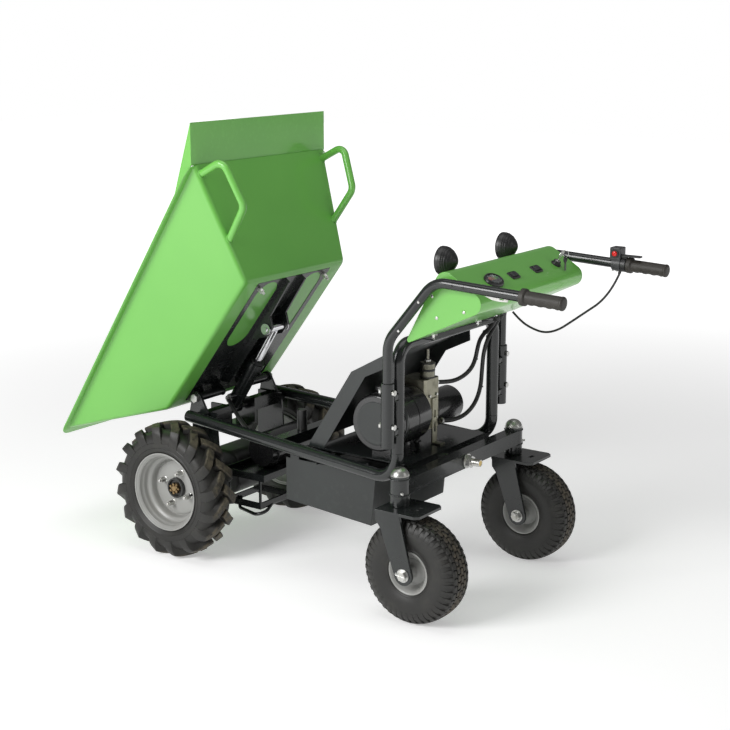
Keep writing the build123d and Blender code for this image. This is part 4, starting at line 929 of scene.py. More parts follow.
@dataclass
class DriveWheel:
    """Lugged drive wheel: tyre, stepped deep rim, hub with its nut and long lug bolts."""

    maker: Maker
    side: Side
    track_half: float = 0.268
    axle_z: float = 0.195
    lugs: int = 16
    flange_r: float = 0.114
    bolt_circle: float = 0.050

    @property
    def centre(self) -> np.ndarray:
        """Middle of the wheel."""
        return np.array([0.0, self.side.value * self.track_half, self.axle_z])

    def bars(self) -> Patch:
        """Curved tread bars, one set on each half of the crown.

        A bar follows t from crown to side wall. Its foot lies on the casing at (foot radius, foot across) and its
        top at (top radius, top across), while the angle turns by the sweep; the section is six points wide.

        Returns:
            The patch of every bar.
        """
        t = np.linspace(0, 1, 15)
        knots = np.array([0, 0.22, 0.45, 0.66, 0.82, 1.0])
        foot_r = np.interp(t, knots, np.array([177, 177, 175, 168, 157, 142]) * MM)
        foot_y = np.interp(t, knots, np.array([-3, 12, 28, 41, 47, 50.5]) * MM)
        top_r = np.interp(t, knots, np.array([195, 195, 193.5, 188, 170, 144.5]) * MM)
        top_y = np.interp(t, knots, np.array([-4, 12, 29, 46.5, 54.6, 53.5]) * MM)
        turn = np.interp(t, knots, np.radians([0, 5.0, 10.5, 14.5, 16.5, 17.5]))
        half = np.interp(t, knots, np.array([10.0, 10.5, 11.0, 12.5, 13.5, 12.0]) * MM)
        lean = np.interp(t, knots, [0.75, 0.75, 0.72, 0.5, 0.15, 0.05])
        across = np.array([-1.32, -1.04, -0.86, 0.86, 1.04, 1.32])
        rise = np.array([-0.12, 0.93, 1.0, 1.0, 0.93, -0.12])
        radius = foot_r[:, None] + (top_r - foot_r)[:, None] * rise
        y = foot_y[:, None] + (top_y - foot_y)[:, None] * rise - half[:, None] * across * lean[:, None] * 0.75
        bend = turn[:, None] + half[:,
                                    None] * across / np.maximum(radius, 0.1) * np.sqrt(1 - 0.5 * lean[:, None] ** 2)
        patches = []
        pitch = 2 * pi / self.lugs
        for sign, start in ((1, 0.0), (-1, pitch / 2)):
            for index in range(self.lugs):
                section = wheel_points(self.centre, bend + start + index * pitch, radius, sign * y)
                patches.append(grid(section, along_v=Lay.ROUND, cap=True))
        return together(patches)

    def casing(self) -> Patch:
        """Casing of the tyre: bead, bulged wall with moulded rings, shoulder and crown, turned round the axle."""
        half = [(118, 46.8), (121, 48.4), (126, 50.2), (128, 51.6), (129.5, 50.6), (134, 51.2), (140, 52.0),
                (143, 52.8),
                (144.5, 51.8), (152, 51.6), (160, 49.0), (168, 43.5), (173, 35.0), (176, 22.0), (177, 8.0)]
        inner = [(103.6, 37.6), (108, 40.6), (114.6, 43.2)]
        right = np.array(inner + half)
        left = right[::-1] * [1, -1]
        profile = np.vstack([right, left]) * MM
        closed = np.vstack([profile, profile[:1]])
        return turned(closed, self.centre, steps=144)

    def rim(self) -> Patch:
        """Stepped rim: curled flanges, bead seats, drop well and the flat disc, smoothed and turned."""
        outer = [(108.5, 45.0), (110.4, 47.4), (112.8, 47.7), (113.9, 46.2), (113.4, 44.4)]
        face = [(30, -9.7), (60, -9.7), (73, -9.8), (78.5, -10.6), (82.5, -12.6), (84.0, -9.0), (84.6, -2.0),
                (86.0, 5.0),
                (89.5, 9.0), (94.5, 12.0), (97.0, 16.0), (98.4, 24.0), (101.4, 30.0), (102.6, 36.0), (104.4, 41.0)]
        back = [(102.5, 38.6), (102.3, -38.6), (113.4, -44.4), (113.9, -46.2), (112.8, -47.7), (110.4, -47.4),
                (108.5, -45.0), (102.0, -40.0), (98.0, -34.0), (88.0, -27.0), (76.0, -19.0), (70.0, -13.8),
                (30, -13.8)]
        front = smooth_line(face + outer, 5)
        rear = smooth_line(back, 4)
        profile = np.vstack([front, rear, front[:1]]) * MM * [1, self.side.value]
        return turned(profile, self.centre, steps=128)

    def valve(self) -> Patch:
        """Rubber valve stem in the well of the rim."""
        s = self.side.value
        root = self.centre + np.array([-0.0885, s * 0.010, 0.0])
        tip = root + np.array([0.010, s * 0.018, 0.0])
        line = np.linspace(root, tip, 7)
        return carried(line, np.array([5.5, 5.0, 4.0, 3.6, 3.6, 3.7, 3.0]) * MM, 18)

    def hub(self) -> tuple[Patch, Patch, Patch]:
        """Black hub cup, bronze castle nut with the shaft end, and the zinc lug bolts in their sleeves."""
        s = self.side.value
        cup = np.array([(0, -14.2), (29.2, -14.2), (29.6, -8), (29.2, 1.2), (28.2, 2.0), (25.4, 2.0), (24.4, 1.0),
                        (24.0, -6), (0, -6)]) * MM * [1, s]
        plate = np.array([(31, -21.8), (63.4, -21.8), (64, -21.2), (64, -14.6), (31, -14.6),
                          (31, -21.8)]) * MM * [1, s]
        neck = np.array([(13, -44), (29.4, -44), (30, -43), (30, -21)]) * MM * [1, s]
        black = together([turned(p, self.centre, steps=64) for p in (cup, plate, neck)])
        face = self.centre + np.array([0, s * -0.006, 0])
        nut = [bolt_head(face, (0, s, 0), 0.0165, 0.010)]
        for index in range(6):
            a = radians(60 * index + 30)
            tooth = face + np.array([0.0125 * cos(a), s * 0.0095, 0.0125 * sin(a)])
            nut.append(bolt_head(tooth, (0, s, 0), 0.0042, 0.005))
        shaft = np.array([(0, 0), (0.0085, 0), (0.0085, 0.0118), (0.0075, 0.013), (0, 0.013)]) * [1, s]
        nut.append(turned(shaft, face, steps=40))
        bolts = []
        for index in range(4):
            a = radians(20 + 90 * index)
            foot = self.centre + np.array([self.bolt_circle * cos(a), s * -0.0096, self.bolt_circle * sin(a)])
            sleeve = np.array([(0, 0), (9.0, 0), (9.0, 1.2), (7.2, 2.0), (7.0, 20.5), (6.4, 21.6), (5.2, 21.8),
                               (5.0, 24.0),
                               (4.6, 27.2), (3.2, 27.9), (0, 28.0)]) * MM * [1, s]
            bolts.append(turned(sleeve, foot, steps=36))
        return black, together(nut), together(bolts)

    def build(self) -> None:
        """Makes and dresses the wheel."""
        word, body = self.side.word, f"drive_wheel_{self.side.word}"
        rubber = f"drive_rubber_{word}"
        self.maker.shop.finishes[rubber] = TyreRubber(rubber, tuple(self.centre), 0.195, 0.018)
        make = self.maker.piece
        make(f"drive_tyre_casing_{word}", self.casing(), rubber, body, (f"drive_tyre_{word}",))
        make(f"drive_tyre_bars_{word}", self.bars(), rubber, body, slot="drive_tyre", sharp=28)
        make(f"drive_rim_dish_{word}", self.rim(), "silver", body, (f"drive_rim_{word}",), sharp=50)
        make(f"drive_valve_{word}", self.valve(), "hose", body)
        black, nut, bolts = self.hub()
        make(f"drive_hub_cup_{word}", black, "iron", body, (f"drive_hub_{word}",))
        make(f"drive_nut_{word}", nut, "bronze", body, slot="zinc")
        make(f"drive_lug_bolts_{word}", bolts, "zinc", body, slot="zinc")


@dataclass
class CasterWheel:
    """Caster wheel: round-shouldered tyre with block tread, dished rim and hub."""

    maker: Maker
    side: Side
    x: float = -0.843
    y_half: float = 0.288
    z: float = 0.140
    around: int = 42

    @property
    def centre(self) -> np.ndarray:
        """Middle of the wheel."""
        return np.array([self.x, self.side.value * self.y_half, self.z])

    def crown(self, across: np.ndarray) -> np.ndarray:
        """Outer radius of the tread at a distance across it."""
        return np.interp(np.abs(across), np.array([0, 14, 26, 34, 40, 44, 47]) * MM,
                         np.array([140, 139.6, 138.2, 136.0, 131.5, 124.5, 112.0]) * MM)

    def blocks(self) -> Patch:
        """Tread blocks: chevron outlines set out round the crown in five rows, and ribs on the shoulders.

        A block's point (u, v) goes to angle a + u/r and across y + v at the crown's radius; its foot ring lies
        under the casing, its edge ring just below the top and its top ring is drawn in.

        Returns:
            The patch of every block.
        """
        chevron = np.array([(-8.6, -5.4), (-5.4, 0), (-8.6, 5.4), (8.2, 5.4), (11.4, 0), (8.2, -5.4)]) * MM
        rib = np.array([(-5.2, -6.5), (-5.6, 0), (-4.4, 8.5), (4.4, 8.5), (5.6, 0), (5.2, -6.5)]) * MM
        rows = [(-26.5, chevron, -1, 0.0), (-13.2, chevron, 1, 0.5), (0.0, chevron, -1, 0.0), (13.2, chevron, 1, 0.5),
                (26.5, chevron, -1, 0.0), (38.0, rib, 1, 0.5), (-38.0, rib * [1, -1], 1, 0.5)]
        pitch = 2 * pi / self.around
        start = np.arange(self.around)[:, None, None] * pitch
        patches = []
        for y, outline, turn, offset in rows:
            flat = outline * [turn, 1]
            shapes = np.stack([flat * 1.10, flat * 1.02, flat * 0.86, flat * 0.0])
            sink = np.array([5.5, 0.9, 0.0, 0.0])[:, None] * MM
            across = y * MM + shapes[..., 1]
            radius = self.crown(across) - sink
            angle = start + offset * pitch + shapes[..., 0] / 0.139
            points = wheel_points(self.centre, angle, radius[None], across[None])
            patches += [grid(block, along_v=Lay.ROUND) for block in points]
        return together(patches)

    def casing(self) -> Patch:
        """Casing under the blocks, with a bead ring and a moulded line on each wall."""
        half = [(55.2, 32.0), (58, 36.6), (61.5, 39.6), (64, 41.0), (66, 40.4), (72, 43.0), (80, 45.4), (90, 47.2),
                (99, 47.8), (104, 47.6), (106, 46.9), (112, 46.2), (120, 43.4), (127, 38.6), (132, 31.5), (134.6, 22),
                (135.8, 8)]
        right = np.array(half)
        profile = np.vstack([right, right[::-1] * [1, -1], right[:1]]) * MM
        return turned(profile, self.centre, steps=128)

    def rim(self) -> Patch:
        """Dished rim with a curled edge and a raised hub, smoothed and turned; both sides alike."""
        face = [(8.4, 46.0), (16.4, 46.0), (17.0, 45.0), (17.0, 26.0), (18.2, 21.5), (22.0, 19.0), (27.0, 17.6),
                (31.0, 17.0), (34.0, 15.8), (38.0, 17.0), (42.5, 22.0), (46.0, 28.0), (48.6, 32.0), (51.5, 35.4),
                (54.5, 38.2), (57.4, 39.6), (58.9, 38.6), (58.4, 36.6), (55.0, 33.2), (54.7, 24.0), (54.7, 8.0)]
        right = smooth_line(face, 4)
        profile = np.vstack([right, right[::-1] * [1, -1], right[:1]]) * MM
        return turned(profile, self.centre, steps=96)

    def valve(self) -> Patch:
        """Short valve stem through the dish."""
        s = self.side.value
        root = self.centre + np.array([0.030, s * 0.016, 0.026])
        return carried(np.linspace(root, root + np.array([0.004, s * 0.020, 0.004]), 6),
                       np.array([4.6, 3.8, 3.2, 3.2, 3.4, 2.6]) * MM, 16)

    def axle(self) -> Patch:
        """Axle bolt: head, two large washers, nut and the bolt's threaded end with its split pin."""
        s = self.side.value
        outer = 0.062
        parts = []
        for way, head in ((s, 0.0085), (-s, 0.0105)):
            face = self.centre + np.array([0, way * (outer + 0.0001), 0])
            parts.append(bolt_head(face, (0, way, 0), 0.0140, head, 0.0178))
        tail = self.centre + np.array([0, -s * (outer + 0.0121), 0])
        parts.append(threaded(tail, tail + np.array([0, -s * 0.0035, 0]), 0.008))
        inner = [self.centre + np.array([0, y, 0]) for y in (-0.0615, -0.047)]
        for y in (-0.0539, 0.0471):
            sleeve = np.array([(8.2, 0), (13.0, 0), (13.5, 0.5), (13.5, 6.3), (13.0, 6.8), (8.2, 6.8), (8.2, 0)]) * MM
            parts.append(turned(sleeve, self.centre + np.array([0, y, 0]), steps=40))
        parts.append(carried(np.array(inner), 0.0079, 20))
        parts.append(carried(np.array([self.centre + np.array([0, y, 0]) for y in (0.047, 0.0615)]), 0.0079, 20))
        cross = self.centre + np.array([0, s * 0.0665, 0.0])
        pin = rounded_path([cross + np.array([0.0155, s * 0.005, 0.008]),
                            cross + np.array([0.0155, s * 0.005, -0.001]),
                            cross + np.array([-0.0155, s * 0.005, -0.001]),
                            cross + np.array([-0.0155, s * 0.005, -0.010])],
                           [0.003, 0.003], 6)
        parts.append(carried(pin, 0.0012, 8))
        return together(parts)

    def build(self) -> None:
        """Makes and dresses the wheel and its axle."""
        word = self.side.word
        wheel, caster = f"caster_wheel_{word}", f"caster_{word}"
        rubber = f"caster_rubber_{word}"
        self.maker.shop.finishes[rubber] = TyreRubber(rubber, tuple(self.centre), 0.140, 0.0045,
                                                      base=(0.020, 0.0195, 0.018), dirt=(0.135, 0.112, 0.082),
                                                      dirt_share=0.9)
        make = self.maker.piece
        make(f"caster_tyre_casing_{word}", self.casing(), rubber, wheel, (f"caster_tyre_{word}",))
        make(f"caster_tread_{word}", self.blocks(), rubber, wheel, slot="caster_tyre", sharp=28)
        make(f"caster_rim_dish_{word}", self.rim(), "silver", wheel, (f"caster_rim_{word}",), sharp=50)
        make(f"caster_valve_{word}", self.valve(), "hose", wheel)
        make(f"caster_axle_bolt_{word}", self.axle(), "zinc", caster, (f"caster_axle_{word}",))


# ---- console, handles and lights --------------------------------------------------------------------------
@dataclass
class Console:
    """Sloping console with its gauge, rockers and key lock, and two work lamps in front."""

    maker: Maker
    top: tuple[float, float] = (-0.892, 0.922)
    foot: tuple[float, float] = (-1.037, 0.8355)
    along: float = 0.088
    half: float = 0.262
    gauge_y: float = 0.140
    rockers: tuple[float, float] = (0.041, -0.076)
    key_y: float = -0.182
    light_y: float = 0.150
    light_centre: tuple[float, float] = (-0.838, 0.917)
    light_foot: tuple[float, float] = (-0.8636, 0.8832)

    def axes(self) -> tuple[np.ndarray, np.ndarray, np.ndarray]:
        """Down the slope, across the machine and out of the panel."""
        dx, dz = self.foot[0] - self.top[0], self.foot[1] - self.top[1]
        length = hypot(dx, dz)
        slope = np.array([dx / length, 0.0, dz / length])
        return slope, np.array([0.0, 1.0, 0.0]), np.array([slope[2], 0.0, -slope[0]])

    def spot(self, y: float, out: float = 0.0) -> np.ndarray:
        """Point on the panel at the instruments' line."""
        slope, _, normal = self.axes()
        return np.array([self.top[0], y, self.top[1]]) + slope * self.along + normal * out

    def on_panel(self, patch: Patch, y: float, out: float = 0.0) -> Patch:
        """A patch made flat at the origin, carried to the panel."""
        slope, across, normal = self.axes()
        return patch.placed(self.spot(y, out), slope, across, normal)

    def oval(self, rings: Sequence[tuple[float, float, float]], steps: int = 72) -> Patch:
        """Rings (a*cos t, b*sin t, height), one inside the next; a ring of size 0 closes the middle.

        Args:
            rings: half length down the slope, half width across, and height of each ring.
            steps: points on each ring.

        Returns:
            The patch.
        """
        t = np.linspace(0, 2 * pi, steps, endpoint=False)
        points = np.stack([np.column_stack([a * np.cos(t), b * np.sin(t), np.full(steps, h)]) for a, b,
                           h in rings]) * MM
        return grid(points, along_v=Lay.ROUND)

    def gauge(self) -> None:
        """Oval gauge: rounded bezel with a groove, dial and a domed window."""
        bezel = self.oval([(19.9, 26.9, -23.8), (24.9, 31.9, 0.0), (25.0, 32.0, 2.4), (24.6, 31.6, 4.9),
                           (23.2, 30.2, 7.4),
                           (21.4, 28.4, 8.8), (19.6, 26.6, 8.9), (18.4, 25.4, 8.0), (17.9, 24.9, 4.2), (0, 0, 4.1)])
        floor = self.oval([(0, 0, -23.8), (19.9, 26.9, -23.8)])
        self.maker.piece("gauge_bezel", self.on_panel(together([bezel, floor]), self.gauge_y), "plastic", "chassis",
                         ("battery_gauge",), sharp=40)
        centre = self.spot(self.gauge_y, 0.0044)
        self.maker.shop.finishes["dial"] = DialFace("battery_dial", tuple(centre))
        dial = self.oval([(0, 0, 4.2), (17.7, 24.7, 4.2), (17.7, 24.7, 4.6), (0, 0, 4.6)])
        self.maker.piece("gauge_dial", self.on_panel(dial, self.gauge_y), "dial", "chassis", slot="black_plastic")
        dome = self.oval([(0, 0, 5.2), (17.8, 24.8, 5.2), (17.8, 24.8, 7.0), (15.0, 21.6, 7.9), (9.6, 14.0, 8.5),
                          (3.6, 5.4, 8.8), (0, 0, 8.8)])
        self.maker.piece("gauge_window", self.on_panel(dome, self.gauge_y), "clear", "chassis", slot="black_plastic")

    def rounded_box(self, half_a: float, half_b: float, radius: float, steps: int = 6) -> np.ndarray:
        """Rounded rectangle, counter-clockwise."""
        t = np.linspace(0, pi / 2, steps)
        arc = radius * np.column_stack([np.cos(t), np.sin(t)])
        turns = [np.array([[cos(k), sin(k)], [-sin(k), cos(k)]]) for k in np.arange(4) * pi / 2]
        mids = [(half_a - radius, half_b - radius), (-half_a + radius, half_b - radius),
                (-half_a + radius, -half_b + radius), (half_a - radius, -half_b + radius)]
        return np.vstack([arc @ turn + mid for turn, mid in zip(turns, mids)])

    def frame_ring(self) -> Patch:
        """Bezel of a rocker: outer and inner rounded rectangles joined over a raised, softened rim."""
        outer = self.rounded_box(13.0, 18.0, 3.0)
        inner = self.rounded_box(7.75, 12.65, 0.9)
        mid = outer + (inner - outer) * 0.22
        near = outer + (inner - outer) * 0.72
        rings = [(inner, -13.5), (outer * 0.74, -13.5), (outer * 0.74, 0.0), (outer, 0.0), (outer, 2.4),
                 (mid, 4.0), (near, 4.0),
                 (inner, 3.2), (inner, -13.5)]
        points = np.stack([np.column_stack([r, np.full(len(r), z)]) for r, z in rings]) * MM
        return grid(points, along_v=Lay.ROUND)

    def rocker(self) -> Patch:
        """Rocking button: a rounded block whose top falls in a shallow curve to its middle, with three grip bars."""
        half_a, half_b = 7.1, 11.4
        u = np.linspace(-1, 1, 9)[:, None]
        v = np.linspace(-1, 1, 25)[None, :]
        edge = np.minimum(1, (1 - np.abs(u)) * 8) * np.minimum(1, (1 - np.abs(v)) * 14)
        bars = 0.28 * (np.cos(np.clip((v - 0.55) * 30, -3 * pi, 3 * pi)) > 0.2) * (np.abs(u) < 0.8)
        height = 5.4 + 2.0 * v * v + 0.3 * np.minimum(1, edge) + bars
        top = np.stack(np.broadcast_arrays(half_a * u, half_b * v, height), -1)
        low = top * [1, 1, 0] + np.array([0, 0, -4.8])
        walls = [grid(np.stack([low[0], top[0]])), grid(np.stack([top[-1], low[-1]])),
                 grid(np.stack([top[:, 0], low[:, 0]])), grid(np.stack([low[:, -1], top[:, -1]]))]
        patch = together([grid(top), grid(low[::-1])] + walls)
        return Patch(patch.points * MM, patch.faces)

    def instruments(self) -> None:
        """Rockers in their bezels, and the key lock with its nut."""
        frames = [self.on_panel(self.frame_ring(), y) for y in self.rockers]
        lock = turned(np.array([(0, -34), (8.8, -34), (8.8, -2), (13.6, -0.0), (14.0, 0.4), (14.0, 1.6),
                                (13.2, 2.4), (11.6, 2.8),
                                (11.4, 4.8), (10.4, 5.0), (10.2, 9.8), (9.4, 10.9), (7.6, 11.0), (7.2, 10.2),
                                (3.2, 10.2), (0, 10.2)]) * MM,
                      self.spot(self.key_y), self.axes()[2], 64)
        self.maker.piece("switch_bezels_and_lock", together(frames + [lock]), "plastic", "chassis",
                         ("key_switch",), sharp=30)
        plug = turned(np.array([(0, 10.25), (6.6, 10.25), (7.0, 10.6), (6.6, 11.05), (0, 11.1)]) * MM,
                      self.spot(self.key_y),
                      self.axes()[2], 48)
        self.maker.piece("lock_face", plug, "zinc", "chassis", slot="zinc")
        for name, y in zip(("front", "rear"), self.rockers):
            self.maker.piece(f"rocker_{name}_button", self.on_panel(self.rocker(), y), "grey_plastic",
                             f"rocker_{name}",
                             (f"rocker_{name}",), sharp=30)

    def trim(self) -> None:
        """Pale rivets on the end plates, and two grommets where the loom enters below."""
        rivet = np.array([(0, 0), (4.2, 0), (4.4, 0.5), (3.6, 1.6), (2.0, 2.2), (0, 2.4)]) * MM
        rivets = []
        for side in Side:
            for x, z in ((-0.958, 0.816), (-0.880, 0.793), (-0.866, 0.846)):
                place = (x, side.value * self.half, z)
                rivets.append(turned(rivet, place, (0, side.value, 0), 24))
        self.maker.piece("console_rivets", together(rivets), "zinc", "chassis", slot="zinc")
        grommet = turned(np.array([(3.2, 2), (7.0, 2), (7.6, 0), (7.2, -4), (5.0, -9), (3.4, -9.5), (3.2, 2)]) * MM,
                         (-0.801, -0.166, 0.7165), (0, 0, 1), 32)
        second = grommet.shifted((0.002, -0.022, 0.0))
        self.maker.piece("cable_grommets", together([grommet, second]), "hose", "chassis", slot="black_plastic")

    def lamp(self, side: Side) -> None:
        """Work lamp: ribbed housing, bright reflector, lens and a bolt on its foot."""
        x, z = self.light_centre
        place = (x, side.value * self.light_y, z)
        word = side.word
        s = np.linspace(-29.6, 7.0, 150)
        dome = np.interp(s, [-30, -29, -25, -18, -9, 0, 7], [2.0, 5.6, 12.6, 21.8, 29.8, 34.8, 36.6])
        ribs = dome + 0.55 * np.clip(np.sin(2 * pi * (s + 26) / 5.2), 0, 1) * ((s > -26) & (s < 2))
        edge = [(37.0, 8.0), (37.0, 15.5), (36.6, 17.2), (35.4, 18.0), (33.8, 17.6), (33.2, 16.2), (33.0, 10.4),
                (0, 10.2)]
        profile = np.vstack([[(0, -30.0)], np.column_stack([np.minimum(ribs, 36.9), s]), edge])
        shell = turned(profile * MM, place, (1, 0, 0), 80)
        fx, fz = self.light_foot
        foot = np.array([fx, place[1], fz])
        stalk = carried(np.linspace(foot + [0, 0, 0.004], np.array([x - 0.004, place[1], z - 0.031]), 6), 0.0050, 24)
        eye = turned(np.array([(3.05, -8), (6.4, -8), (7.0, -7.4), (7.0, 7.4), (6.4, 8), (3.05, 8),
                               (3.05, -8)]) * MM, foot,
                     (0, 1, 0), 40)
        self.maker.piece(f"lamp_housing_{word}", together([shell, stalk, eye]), "plastic", f"work_light_{word}",
                         (f"work_light_{word}",), sharp=30)
        bowl = smooth_line([(0, 10.6), (6, 10.7), (14, 11.4), (22, 12.9), (29, 14.6), (32.4, 15.2)], 4)
        dish = np.vstack([bowl, [(32.4, 10.45), (0, 10.4)]])
        self.maker.piece(f"lamp_reflector_{word}", turned(dish * MM, place, (1, 0, 0), 64), "reflector",
                         f"work_light_{word}",
                         slot="chrome_rod")
        lens = np.array([(0, 16.9), (18, 16.8), (30, 16.4), (32.9, 15.9), (32.9, 15.4), (30, 15.5), (18, 15.9),
                         (0, 16.0)])
        self.maker.piece(f"lamp_lens_{word}", turned(lens * MM, place, (1, 0, 0), 64), "clear", f"work_light_{word}",
                         slot="black_plastic")
        bolts = [bolt_head(foot + [0, way * 0.0131, 0], (0, way, 0), 0.0050, 0.0035, 0.006) for way in (1, -1)]
        self.maker.piece(f"lamp_foot_bolts_{word}", together(bolts), "zinc", "chassis", slot="zinc")

    def build(self) -> None:
        """Makes every instrument and lamp; the sheet itself keeps its CAD shape."""
        self.maker.refined("console_shell", "green", 0.0004, limit=50)
        self.maker.refined("console_ends", "green", 0.0006)
        self.maker.refined("light_brackets", "black", 0.0005)
        self.gauge()
        self.instruments()
        self.trim()
        for side in Side:
            self.lamp(side)


@dataclass
class Handles:
    """Bent handle tubes with grips, the switch box, throttle paddle and hand lever."""

    maker: Maker
    radius: float = 0.013
    half: float = 0.282
    shoulder: tuple[float, float] = (-0.885, 0.887)
    end: tuple[float, float] = (-1.238, 0.871)
    knee: tuple[float, float] = (-0.748, 0.7216)
    foot_z: float = 0.446
    grip: float = 0.109

    def bar(self, x: float, side: Side) -> np.ndarray:
        """Centre of the rear run of a handle tube at x."""
        (x0, z0), (x1, z1) = self.shoulder, self.end
        return np.array([x, side.value * self.half, z0 + (z1 - z0) * (x - x0) / (x1 - x0)])

    def tube(self, side: Side) -> Patch:
        """Handle tube: three straight runs joined by arcs of 80 and 72 mm, as the CAD tube is."""
        y = side.value * self.half
        knots = [(self.knee[0], y, self.foot_z), (self.knee[0], y, self.knee[1]),
                 (self.shoulder[0], y, self.shoulder[1]),
                 (self.end[0], y, self.end[1])]
        line = rounded_path(knots, [0.080, 0.072], 22)
        outer = carried(line, self.radius, 40, cap=False)
        inner = carried(line, self.radius - 0.0025, 40, cap=False)
        last = len(line) - 1
        rims = []
        for ring in (0, last):
            pair = np.stack([outer.points.reshape(-1, 40, 3)[ring], inner.points.reshape(-1, 40, 3)[ring]])
            rims.append(grid(pair, along_v=Lay.ROUND))
        return together([outer, inner] + rims)

    def sleeve(self, side: Side) -> Patch:
        """Rubber grip: collar with three rings, a body whose underside swells into finger ridges, and a rounded end.

        The radius is base + ridge*max(0, cos 2 pi s/pitch) on the lower half of the section.

        Returns:
            The patch.
        """
        s = np.linspace(0, 1, 180)
        back = self.bar(self.end[0] - 0.004, side)
        front = self.bar(self.end[0] - 0.004 + self.grip + 0.004, side)
        line = back + s[:, None] * (front - back)
        place = s * (self.grip + 0.004) / MM
        base = np.interp(place, [0, 0.5, 2.0, 4.0, 7, 8, 98, 99, 101, 104, 106, 109, 112.5, 113],
                         [12.0, 14.6, 16.4, 17.0, 17.0, 16.1, 16.1, 17.5, 20.5, 21.0, 20.8, 21.0, 20.6, 19.6])
        angle = np.linspace(0, 2 * pi, 48, endpoint=False)
        under = np.clip(-np.sin(angle), 0, 1) ** 0.7
        wave = 1.15 * np.cos(2 * pi * (place - 14) / 24.0) * ((place > 14) & (place < 92))
        flute = 0.22 * np.cos(angle * 24) * ((place > 10) & (place < 96))[:, None] * (1 - under)
        radius = (base[:, None] + np.clip(wave, -0.6, 0.9)[:, None] * under + flute) * MM
        along = (front - back) / np.linalg.norm(front - back)
        up = np.cross(along, [0, 1.0, 0])
        up = up * np.sign(up[2])
        ring = np.cos(angle)[None, :, None] * np.array([0, 1.0, 0]) + np.sin(angle)[None, :, None] * up
        skin = line[:, None] + radius[..., None] * ring
        patch = grid(skin, along_v=Lay.ROUND)
        bore = np.stack([skin[-1], line[-1] + 0.0131 * ring[0], line[4] + 0.0131 * ring[0]])
        cap = np.stack([skin[0], line[0] + 0.006 * ring[0] - along * 0.0001,
                        line[0] + 0.0 * ring[0] - along * 0.0001])
        back_wall = np.stack([line[4] + 0.0131 * ring[0], line[4] + 0.0 * ring[0]])
        return together([patch, grid(bore, along_v=Lay.ROUND), grid(cap, along_v=Lay.ROUND),
                         grid(back_wall, along_v=Lay.ROUND)])

    def build(self) -> None:
        """Makes tubes, grips and the parts clamped on them."""
        for side in Side:
            self.maker.piece(f"handle_tube_{side.word}", self.tube(side), "black", "chassis",
                             (f"handle_{side.word}",), sharp=60)
        self.maker.piece("grips", together([self.sleeve(side) for side in Side]), "grip", "chassis",
                         ("handle_grips",), sharp=50)
        self.maker.refined("switch_box", "grey_plastic", 0.0004)
        self.maker.refined("throttle_lever", "plastic", 0.0006)
        self.maker.refined("brake_lever", "zinc", 0.0005)
        button = np.array([(0, -6), (6.9, -6), (7.0, 3.2), (6.9, 4.8), (6.2, 6.2), (4.8, 6.9), (0, 7.0)]) * MM
        place = (-1.098, -self.half + 0.017, 0.906)
        self.maker.piece("stop_button_cap", turned(button, place, (0, 1, 0), 48), "red", "stop_button",
                         ("stop_button",), sharp=40)
        collar = np.array([(7.4, 0), (10.6, 0), (11.0, 0.4), (11.0, 1.6), (10.2, 2.2), (7.8, 2.2), (7.4, 1.8),
                           (7.4, 0)]) * MM
        parts = [turned(collar, place, (0, 1, 0), 48)]
        for dx, dz in ((-0.011, 0.012), (0.011, 0.012), (-0.011, -0.013), (0.011, -0.013)):
            spot = (place[0] + dx, -self.half - 0.017, place[2] - 0.0015 + dz)
            parts.append(turned(np.array([(0, -0.2), (2.2, -0.2), (2.2, 0.7), (1.4, 1.1), (0, 0.9)]) * MM, spot,
                                (0, -1, 0), 20))
        self.maker.piece("switch_box_collar", together(parts), "plastic", "chassis", slot="black_plastic")
        screws = []
        for x in (-1.098, -1.086):
            at = self.bar(x, Side.RIGHT) - [0, 0, 0.0195]
            screws.append(bolt_head(at + [0, 0.002, 0.0006], (0, 0, -1), 0.0032, 0.0022))
        plugs = []
        dome = np.array([(0, -0.6), (3.6, -0.6), (3.6, 0.5), (2.6, 1.3), (0, 1.5)]) * MM
        for side in Side:
            for x in (-0.943, -0.975):
                at = self.bar(x, side) + [0, side.value * (self.radius - 0.0002), 0]
                plugs.append(turned(dome * 0.9, at, (0, side.value, 0), 20))
            for x, z in ((-0.847, 0.834), (-0.788, 0.755)):
                screws.append(turned(dome, (x, side.value * (self.half + self.radius - 0.0006), z),
                                     (0, side.value, 0), 20))
        self.maker.piece("bar_hole_plugs", together(plugs), "plastic", "chassis", slot="black_plastic")
        self.maker.piece("clamp_screws", together(screws), "zinc", "chassis", slot="zinc")
        ferrule = turned(np.array([(0, 0), (3.6, 0), (4.0, 0.5), (4.0, 8.5), (3.4, 10.5), (2.2, 14), (0, 14)]) * MM,
                         (-1.107, -0.283, 0.8605), (0.35, -0.03, -0.93), 28)
        self.maker.piece("throttle_cable_end", ferrule, "hose", "chassis", slot="black_plastic")


